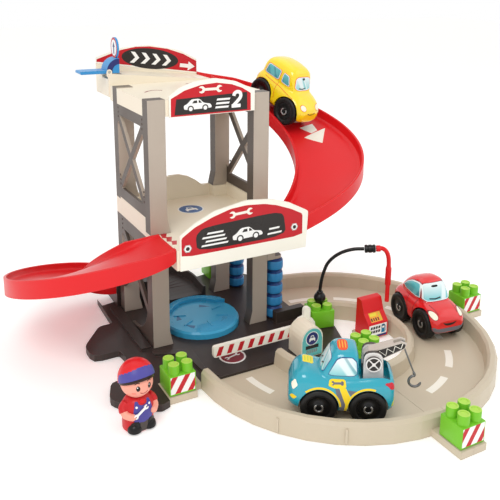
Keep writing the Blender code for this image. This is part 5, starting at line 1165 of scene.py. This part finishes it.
def yellow_car():
    place, tree = vehicle("yellow", "yellow_car", [WAGON_BODY, WAGON_CABIN], "yellow", 78)
    glass = window("yellow_screen", (0, 0.85, 0.5), 24.0, 48, 66, "glass_white", "glass_teal", "glass_teal")
    side_glass = window("yellow_side", (0.75, 0, 0.62), 16.0, 44, 64, "glass_teal", "glass_deep")
    edge, seam = "glass_white", "orange"
    screen = softened([(-16.5, 49.5), (16.5, 49.5), (14.5, 65.5), (-14.5, 65.5)], 2, 0.16)
    side = softened([(-35.5, 46.5), (-33.5, 61.5), (-8.0, 63.5), (-7.5, 49.0)], 2, 0.10)
    quarter = softened([(-2.5, 49.5), (-3.2, 63.5), (7.0, 63.0), (13.0, 50.0)], 2, 0.12)
    rear = softened([(-13.5, 50.0), (13.5, 50.0), (12.0, 62.0), (-12.0, 62.0)], 2, 0.16)
    layers = [*pane(screen, NOSE, (0.9, seam, 0.10), (0, edge, 0.18), (-1.2, glass, 0.26)),
              (circle(0, 63.2, 2.4, 20, 1.5), NOSE, "black", 0.34),
              (stroke([(-9, 51.8), (-2, 51.0), (4, 52.0)], 1.3), NOSE, "black", 0.34),
              *pane(side, "sides", (0.9, seam, 0.10), (0, edge, 0.18), (-1.2, side_glass, 0.26)),
              *pane(quarter, "sides", (0.6, seam, 0.10), (0, edge, 0.18), (-1.2, side_glass, 0.26)),
              *pane(rear, TAIL, (0.9, seam, 0.10), (0, edge, 0.18), (-1.2, glass, 0.26))]
    for sign in (-1, 1):
        layers += [(circle(sign * 14.5, 35.5, 4.9, 28, 3.4), NOSE, seam, 0.08),
                   (circle(sign * 14.5, 35.5, 4.3, 28, 2.9), NOSE, "lamp", 0.28),
                   (circle(sign * 17.0, 34.0, 2.6, 20, 4.0), TAIL, "tail_red", 0.25)]
    layers.append((stroke([(-7.5, 29.6), (-3.5, 27.8), (3.5, 27.8), (7.5, 29.6)], 1.1), NOSE, "plate", 0.2))
    layers.append((stroke([(-5.6, 47.0), (-4.6, 36), (-1.0, 24.6)], 0.6), "sides", seam, 0.10))
    layers.append((stroke([(-30, 43.4), (0, 43.2), (28, 40.0)], 0.6), "sides", seam, 0.10))
    marks_and_wheels("yellow", "yellow_car", layers, tree, place)


def truck():
    place, tree = vehicle("truck", "truck", [TRUCK_BODY, TRUCK_CABIN], "teal", 84,
                          [((-46.5, -19, 40), (-15.5, 19, 80))])
    glass = window("truck_screen", (0, 0.8, 0.6), 36.0, 55, 74, "glass_white", "glass_teal", "glass_teal")
    side_glass = window("truck_side", (-0.82, 0, 0.57), 36.0, 51, 72, "glass_white", "glass_teal")
    rim, yellow, lamp = "deep_blue", "stripe_yellow", "lamp"
    grey, orange = "trim_grey", "orange"
    screen = softened([(-16, 6.0), (16, 6.0), (15, 25.0), (-15, 25.0)], 2, 0.10)
    ahead = Sheet((26 + 0.852 * 60, 0, 50 + 0.524 * 60), Y, Vector((-0.524, 0, 0.852)))
    side = softened([(-12.8, 53.4), (16.0, 53.4), (12.2, 61.5), (7.4, 69.8), (3.0, 71.8), (-7.5, 71.8),
                     (-11.8, 68.0)],
                    2, 0.12)
    layers = [*pane(screen, ahead, (0.8, rim, 0.10), (0, glass, 0.22)),
              (stroke([(-9, 9.5), (-3, 12.5)], 1.6), ahead, "black", 0.30),
              (stroke([(2, 9.0), (8, 12.0)], 1.6), ahead, "black", 0.30),
              *pane(side, "sides", (0.9, rim, 0.10), (0, side_glass, 0.22))]
    plate = softened([(-2.2, 42.0), (-1.4, 48.0), (0.6, 49.2), (12.6, 49.2), (14.8, 48.0), (15.8, 43.6),
                      (9.0, 41.0)],
                     1, 0.12)
    layers += [(sector(HALF_BASE, WHEEL_RADIUS, 20.9, 23.0, 52, 176, 24), "sides", yellow, 0.16),
               (sector(-HALF_BASE, WHEEL_RADIUS, 20.9, 23.0, 108, 4, 24), "sides", yellow, 0.16),
               ([(9.2, 41.6), (4.6, 40.0), (-1.8, 24.0), (-0.8, 15.0), (3.6, 15.0), (4.6, 24.0)], "sides",
                grey, 0.12),
               ([(4.8, 41.6), (-1.8, 41.6), (-7.2, 31.0), (-4.8, 24.0), (-3.6, 15.0), (-0.8, 15.0),
                 (-1.6, 24.0)],
                "sides", yellow, 0.22),
               ([(-3.2, 39.6), (-12.6, 38.6), (-8.4, 31.8)], "sides", grey, 0.12),
               (plate, "sides", yellow, 0.26), (turned(spanner(13.0, 1.3), 0, 6.6, 45.6), "sides", grey,
                                                0.36),
               (softened([(30.5, -14), (30.5, 2.5), (41.5, 2.0), (41.5, -13.5)], 1, 0.12), ABOVE,
                "patch_yellow", 0.20),
               (softened([(-4.0, -9.0), (-4.0, 12.0), (6.6, 12.0), (6.6, -9.0)], 2, 0.2), ABOVE, orange,
                0.24)]
    for i in range(3):
        x = -1.6 + 2.9 * i
        layers.append((stroke([(x, -5.5), (x, 8.5)], 1.2), ABOVE, "screen", 0.34))
        layers.append((stroke([(33.0 + 3.0 * i, -11.0), (33.0 + 3.0 * i, -0.5)], 1.3), ABOVE, "lime", 0.30))
    for sign in (-1, 1):
        corner = Sheet((90, sign * 60, 0), Vector((-0.62 * sign, 0.78, 0)), Z)
        corner.out = Vector((0.78, 0.62 * sign, 0))
        start = corner.origin.dot(corner.across)
        middle = Vector((50.5, sign * 21.5, 0)).dot(corner.across) - start
        layers.append((softened([(middle - 4.6, 42.5), (middle, 48.5), (middle + 4.6, 43.0), (middle, 37)],
                                1, 0.16),
                       corner, lamp, 0.28))
        layers.append((softened([(middle - 5.2, 28.6), (middle - 1.0, 32.2), (middle + 4.4, 30.4),
                                 (middle + 0.8, 26.6)], 1, 0.16), corner, yellow, 0.28))
        layers.append((softened([(sign * 20.6 - 2.4, 40), (sign * 20.6 + 2.0, 40), (sign * 20.6 + 1.6, 47),
                                 (sign * 20.6 - 2.4, 47)], 1, 0.2), TAIL, "tail_red", 0.26))
        layers.append((softened([(sign * 17.5 - 4, 20.4), (sign * 17.5 + 3.4, 20.4),
                                 (sign * 17.5 + 3.0, 28.2),
                                 (sign * 17.5 - 4, 27.0)], 1, 0.2), TAIL, "lime", 0.22))
    layers.append((stroke([(-9.5, 22.5), (0, 21.8), (9.5, 22.5)], 2.0), NOSE, "plate", 0.2))
    marks_and_wheels("truck", "truck", layers, tree, place)
    crane(place)


def crane(place):
    """The winch wheel, the boom's lattice print and the hook on its wire."""
    form = Form()
    face = Sheet((-30, 14.2, 62.5), -X, Z)
    face.out = Y
    form.lathe([(2.3, -2.6), (8.3, -2.6), (8.5, -2.2), (8.5, -0.4), (8.2, 0.1), (6.9, 0.1), (6.7, -0.5),
                (2.3, -0.5)],
               (-30, 14.2, 62.5), Y, 40, 0, lambda row, _: 1 if row >= 6 else 0)
    for angle in (45, 135):
        bar = turned([(-7.0, -0.65), (7.0, -0.65), (7.0, 0.65), (-7.0, 0.65)], angle)
        form.plate(bar, face, -0.7, 0.0 if angle == 45 else -0.05, 0)
    form.plate(circle(0, 0, 1.9), face, -0.4, 0.18, 0)
    add_piece("winch_wheel_skin", form, ["housing", "plate"], "winch",
              place, ["winch_wheel"])
    root, length = Vector(BOOM_ROOT), BOOM_LENGTH
    along = Vector((-cos(BOOM_RAKE), sin(BOOM_RAKE)))
    normal = Vector((sin(BOOM_RAKE), cos(BOOM_RAKE)))

    def spot(s, n):
        p = root + along * s + normal * n
        return (p.x, p.y)
    web = [spot(-5, -3.2), spot(-1.0, -5.6), spot(length, -3.2), spot(length + 2.6, 0), spot(length, 2.9),
           spot(2, 5.6),
           spot(-5, 3.0)]
    zig = [spot(1 + 4.2 * i, (-4.0 if i % 2 else 4.2) * (1 - 0.055 * i)) for i in range(9)]
    for label, sheet, flip in (("left", Sheet((0, 6.0, 0), -X, Z), -1),
                               ("right", Sheet((0, -6.0, 0), X, Z), 1)):
        marks = [([(flip * a, b) for a, b in web], "plate", 0)]
        marks.append(([(flip * a, b) for a, b in stroke(zig, 0.9)], "dash", 1))
        prints(f"boom_lattice_{label}", sheet, marks, "boom", place)
    tip = Vector((root.x + along.x * length, 0, root.y + along.y * length))
    end = tip + Vector((-15, 0, -37))
    fall = (end - tip).normalized()
    form = Form()
    eye, bar = 2.1, 0.65
    rings = []
    for out in [Vector((cos(pi * i / 12), 0, sin(pi * i / 12))) for i in range(24)]:
        rings.append([tip + out * (eye + bar * cos(pi * k / 4)) + Y * bar * sin(pi * k / 4)
                      for k in range(8)])
    form.ring(rings)
    form.tube([tip + fall * 2.3, tip + fall * 10, end - fall * 4.0], 0.85, 10)
    form.tube([end - fall * 4.4, end - fall * 3.8, end - fall * 0.4], [1.0, 1.5, 1.4], 14)
    sweep = [end + Vector((6.2 * sin(a), 0, 6.2 * (cos(a) - 1)))
             for a in [radians(261) * i / 36 for i in range(37)]]
    form.tube(sweep, [1.4] * 33 + [1.3, 1.15, 0.9, 0.5], 14)
    add_piece("crane_hook_skin", form, ["hook_grey"], "hook",
              place, ["crane_hook"])


# Figure
def figure():
    place = Matrix.Translation(Vector((-142, -185.5, 0)) * MM) @ Matrix.Rotation(radians(9), 4, "Z")
    stations = [(0.4, 15.4, 12.6), (2.0, 16.2, 13.2), (14, 16.0, 13.5), (21.5, 16.4, 13.5),
                (29, 15.0, 12.5),
                (33.5, 11.5, 10.5), (36, 7.5, 7.5)]
    form = Form()
    rings = []
    for z, half_w, half_d in catmull([Vector(s) for s in stations], 4):
        rings.append([(half_w * copysign(abs(cos(a)) ** 0.85, cos(a)),
                       half_d * copysign(abs(sin(a)) ** 0.85, sin(a)), z)
                      for a in [2 * pi * (k + 0.5) / 40 for k in range(40)]])
    form.loft(rings)
    for side in (-1, 1):
        arm = catmull([Vector((side * 12.0, 0, 30.4)), Vector((side * 16.0, -0.6, 26.0)),
                       Vector((side * 16.4, -3.4, 22.4))], 6)
        form.tube(arm, [5.0 + 0.3 * i / len(arm) for i in range(len(arm))], 18)
    body = mesh_object("figure_body_skin", form, ["sleeve"])
    melted(body, 0.6, 6)
    for polygon in body.data.polygons:
        polygon.material_index = 0
    tree = body_tree(body)
    settle(body, "figure", place, ["figure_body"], 50)
    face = Sheet((0, -60, 0), X, Z)
    back = Sheet((0, 60, 0), -X, Z)
    overall, black, white = "overall", "black", "white"
    bib = softened([(-10.4, 12), (-10.6, 23), (-8.0, 33.2), (-5.0, 33.6), (-4.2, 30.2), (0, 29.0),
                    (4.2, 30.2),
                    (5.0, 33.6), (8.0, 33.2), (10.6, 23), (10.4, 12), (0, 10.5)], 1, 0.18)
    layers = [(bib, face, overall, 0.25), (softened([(-12, 11), (-12, 25), (12, 25), (12, 11)], 1), back,
                                           overall, 0.25),
              (circle(-7.0, 28.4, 1.15, 16), face, white, 0.45),
              (circle(7.0, 28.4, 1.15, 16), face, white, 0.45),
              (softened([(-14.6, 0.8), (-15.0, 6), (-11.0, 13.0), (-4.6, 12.6), (-3.4, 1.0)], 1, 0.2),
               face, black, 0.5),
              (softened([(14.6, 0.8), (15.0, 6), (11.0, 13.0), (4.6, 12.6), (3.4, 1.0)], 1, 0.2), face,
               black, 0.5),
              # A dark patch between the black legs: painted shade of the gap between the legs.
              (softened([(-3.8, 0.9), (-5.0, 12), (0, 10.6), (5.0, 12), (3.8, 0.9)], 1, 0.15), face,
               "housing_dark", 0.3),
              (softened([(-3.6, 33.2), (0, 30.2), (3.6, 33.2), (0, 34.6)], 1, 0.12), face, "cap_red", 0.45)]
    patches("figure_clothes", layers, tree, "figure", place)
    form = Form()
    for side in (-1, 1):
        form.lathe([(5.6, 0.2), (7.4, 1.0), (7.6, 3.0), (6.9, 6.0), (4.6, 8.6), (1.2, 9.6)],
                   (side * 8.0, -8.0, 0), sides=24)
    add_piece("figure_shoes", form, ["black"], "figure", place)
    form = Form()
    for side in (-1, 1):
        line = catmull([Vector((side * 16.4, -3.0, 23.0)), Vector((side * 16.2, -6.4, 20.6)),
                        Vector((side * 12.6, -11.6, 19.2))], 5)
        form.tube(line, [4.4 - 0.09 * i for i in range(len(line))], 18)
        form.ball((side * 12.0, -12.2, 19.4), (3.6, 3.2, 3.6), sides=20)
    add_piece("figure_hands", form, ["skin"], "figure", place, smooth=60)
    form = Form()
    tilt = radians(32)
    tool = Sheet((-3.4, -14.6, 23.6), Vector((cos(tilt), 0, sin(tilt))),
                 Vector((-sin(tilt), 0, cos(tilt))))
    form.plate(spanner(18.5, 1.2), tool, -0.8, 0.7)
    add_piece("figure_spanner", form, ["white"], "figure", place, bevel=0.25)
    head(place, face)


def head(place, face):
    """A round face under a big cap with a plain band."""
    form = Form()
    profile = [(6.0, 36.3), (9.0, 36.9)]
    profile += [(16.5 * cos(radians(a)),
                 50 + 15.2 * sin(radians(a))) for a in range(-50, 62, 6)]
    profile += [(5.0, 64.2), (0.1, 64.6)]
    form.lathe(profile, sides=56)
    skin = "skin"
    skull = mesh_object("figure_head_skin", form, [skin])
    tree = body_tree(skull)
    settle(skull, "figure", place, ["figure_head"], 60)
    black, white, hair = "black", "white", "hair"
    layers = []
    for side in (-1, 1):
        layers += [(circle(side * 6.2, 50.6, 1.9, 24, 2.8), face, black, 0.20),
                   (circle(side * 6.2 - 0.6, 51.9, 0.6, 14), face, white, 0.30),
                   (stroke([(side * 8.8, 55.0), (side * 6.4, 56.2), (side * 4.2, 55.6)], 0.6), face, hair,
                    0.2),
                   (circle(side * 9.6, 45.4, 1.9, 20, 1.3), face, "tint", 0.14)]
    smile = arc(0, 49.2, 5.2, 218, 322, 12)
    layers.append((stroke(smile, 0.85), face, "smile", 0.24))
    patches("figure_face", layers, tree, "figure", place)

    def rim(angle, low, drop):
        return low + drop * cos(angle)

    def shell(name, rx, ry, centre, top, deep, low, drop, thickness, chooser, materials, replaces):
        sides, rows = 72, 22
        outer, inner = [], []
        for row in range(rows + 1):
            ring_out, ring_in = [], []
            for k in range(sides):
                a = 2 * pi * k / sides
                edge = rim(a, low, drop)
                z = edge + (top - edge) * sin(pi / 2 * row / rows)
                tall = (top - centre[2]) if z > centre[2] else deep
                s = sqrt(max(1 - ((z - centre[2]) / tall) ** 2, 0.0))
                s = max(s, 0.012)
                x = centre[0] + rx * s * sin(a)
                y = centre[1] - ry * s * cos(a)
                ring_out.append((x, y, z))
                shrink = 1 - thickness / rx / max(s, 0.2)
                ring_in.append((centre[0] + (x - centre[0]) * shrink, centre[1] + (y - centre[1]) * shrink,
                                z - (thickness if row == rows else 0.0)))
            outer.append(ring_out)
            inner.append(ring_in)
        form = Form()
        form.loft(list(reversed(inner)) + outer, chooser=lambda row, k: chooser(row - rows - 1, k))
        return add_piece(name, form, materials, "figure", place, replaces, smooth=60)

    def band(row, k):
        ahead = min(k, 72 - k) / 72 * 360
        return 1 if 0 <= row <= 6 + 4.5 * cos(radians(ahead)) and ahead < 104 else 0
    shell("figure_cap_skin", 18.8, 18.8, (0, 0.4, 55.0), 74.0, 25.0, 54.0, 8.0, 1.2, band,
          ["cap_red", "band"], ["figure_cap"])
    shell("figure_hair", 17.5, 17.5, (0, 0.4, 53.6), 70.0, 24.0, 51.2, 6.8, 0.8, lambda row, k: 0,
          ["hair"], [])


# Floor, light and camera
def studio():
    mesh = bpy.data.meshes.new("floor")
    size = 6.0
    mesh.from_pydata([(-size, -size, 0), (size, -size, 0), (size, size, 0), (-size, size, 0)], [],
                     [(0, 1, 2, 3)])
    floor = bpy.data.objects.new("floor", mesh)
    floor.location.z = -0.0006
    bpy.context.scene.collection.objects.link(floor)
    paper = bpy.data.materials.new("paper")
    paper.use_nodes = True
    shader = paper.node_tree.nodes["Principled BSDF"]
    shader.inputs["Base Color"].default_value = (0.95, 0.95, 0.945, 1.0)
    shader.inputs["Roughness"].default_value = 0.9
    shader.inputs["Specular IOR Level"].default_value = 0.1
    shader.inputs["Emission Color"].default_value = (1.0, 1.0, 1.0, 1.0)
    shader.inputs["Emission Strength"].default_value = 0.24
    mesh.materials.append(paper)
    world = bpy.data.worlds.new("studio")
    bpy.context.scene.world = world
    world.use_nodes = True
    tree = world.node_tree
    tree.nodes.clear()
    seen = tree.nodes.new("ShaderNodeBackground")
    seen.inputs["Color"].default_value = (1.0, 1.0, 1.0, 1.0)
    seen.inputs["Strength"].default_value = 1.0
    soft = tree.nodes.new("ShaderNodeBackground")
    soft.inputs["Color"].default_value = (1.0, 0.99, 0.975, 1.0)
    soft.inputs["Strength"].default_value = 0.80
    path = tree.nodes.new("ShaderNodeLightPath")
    first, second = tree.nodes.new("ShaderNodeMath"), tree.nodes.new("ShaderNodeMath")
    first.operation = second.operation = "MAXIMUM"
    mix = tree.nodes.new("ShaderNodeMixShader")
    out = tree.nodes.new("ShaderNodeOutputWorld")
    tree.links.new(path.outputs["Is Camera Ray"], first.inputs[0])
    tree.links.new(path.outputs["Is Glossy Ray"], first.inputs[1])
    tree.links.new(first.outputs[0], second.inputs[0])
    tree.links.new(path.outputs["Is Transmission Ray"], second.inputs[1])
    tree.links.new(second.outputs[0], mix.inputs[0])
    tree.links.new(soft.outputs[0], mix.inputs[1])
    tree.links.new(seen.outputs[0], mix.inputs[2])
    tree.links.new(mix.outputs[0], out.inputs["Surface"])
    lamps = [("key", (-0.75, -0.95, 1.45), 0.7, 9.5, (1.0, 0.985, 0.95)),
             ("fill", (1.25, -0.75, 1.0), 1.2, 2.2, (0.97, 0.98, 1.0)),
             ("top", (0.2, 0.5, 1.7), 1.4, 2.6, (1.0, 1.0, 1.0))]
    for name, spot, size, power, colour in lamps:
        light = bpy.data.lights.new(name, "AREA")
        light.size = size
        light.energy = power
        light.color = colour
        lamp = bpy.data.objects.new(name, light)
        lamp.location = spot
        lamp.rotation_euler = (Vector((0.08, -0.08, 0.1)) - Vector(spot)).to_track_quat("-Z",
                                                                                        "Y").to_euler()
        bpy.context.scene.collection.objects.link(lamp)
    bpy.context.scene.view_settings.view_transform = "Standard"


def camera():
    yaw, pitch, roll = 0.500, 0.238, 0.008
    ahead = Vector((sin(yaw) * cos(pitch), cos(yaw) * cos(pitch), -sin(pitch)))
    level = Vector((cos(yaw), -sin(yaw), 0))
    upright = level.cross(ahead)
    right = level * cos(roll) + upright * sin(roll)
    up = upright * cos(roll) - level * sin(roll)
    lens = bpy.data.cameras.new("camera")
    lens.sensor_width = 36
    lens.lens = 50.652
    lens.shift_x = -0.00996
    lens.shift_y = -0.2
    lens.clip_start = 0.05
    eye = bpy.data.objects.new("camera", lens)
    turn = Matrix((right, up, -ahead)).transposed().to_4x4()
    eye.matrix_world = Matrix.Translation(EYE) @ turn
    bpy.context.scene.collection.objects.link(eye)
    bpy.context.scene.camera = eye


def main():
    studio()
    camera()
    dress_frame()
    slides()
    sign_prints()
    deck_prints()
    frame_rivets()
    lever_prints()
    turntable_grips()
    rollers()
    booth_and_barrier_prints()
    pump_prints()
    ground_prints()
    bricks()
    hose_arm()
    red_car()
    yellow_car()
    truck()
    figure()


main()
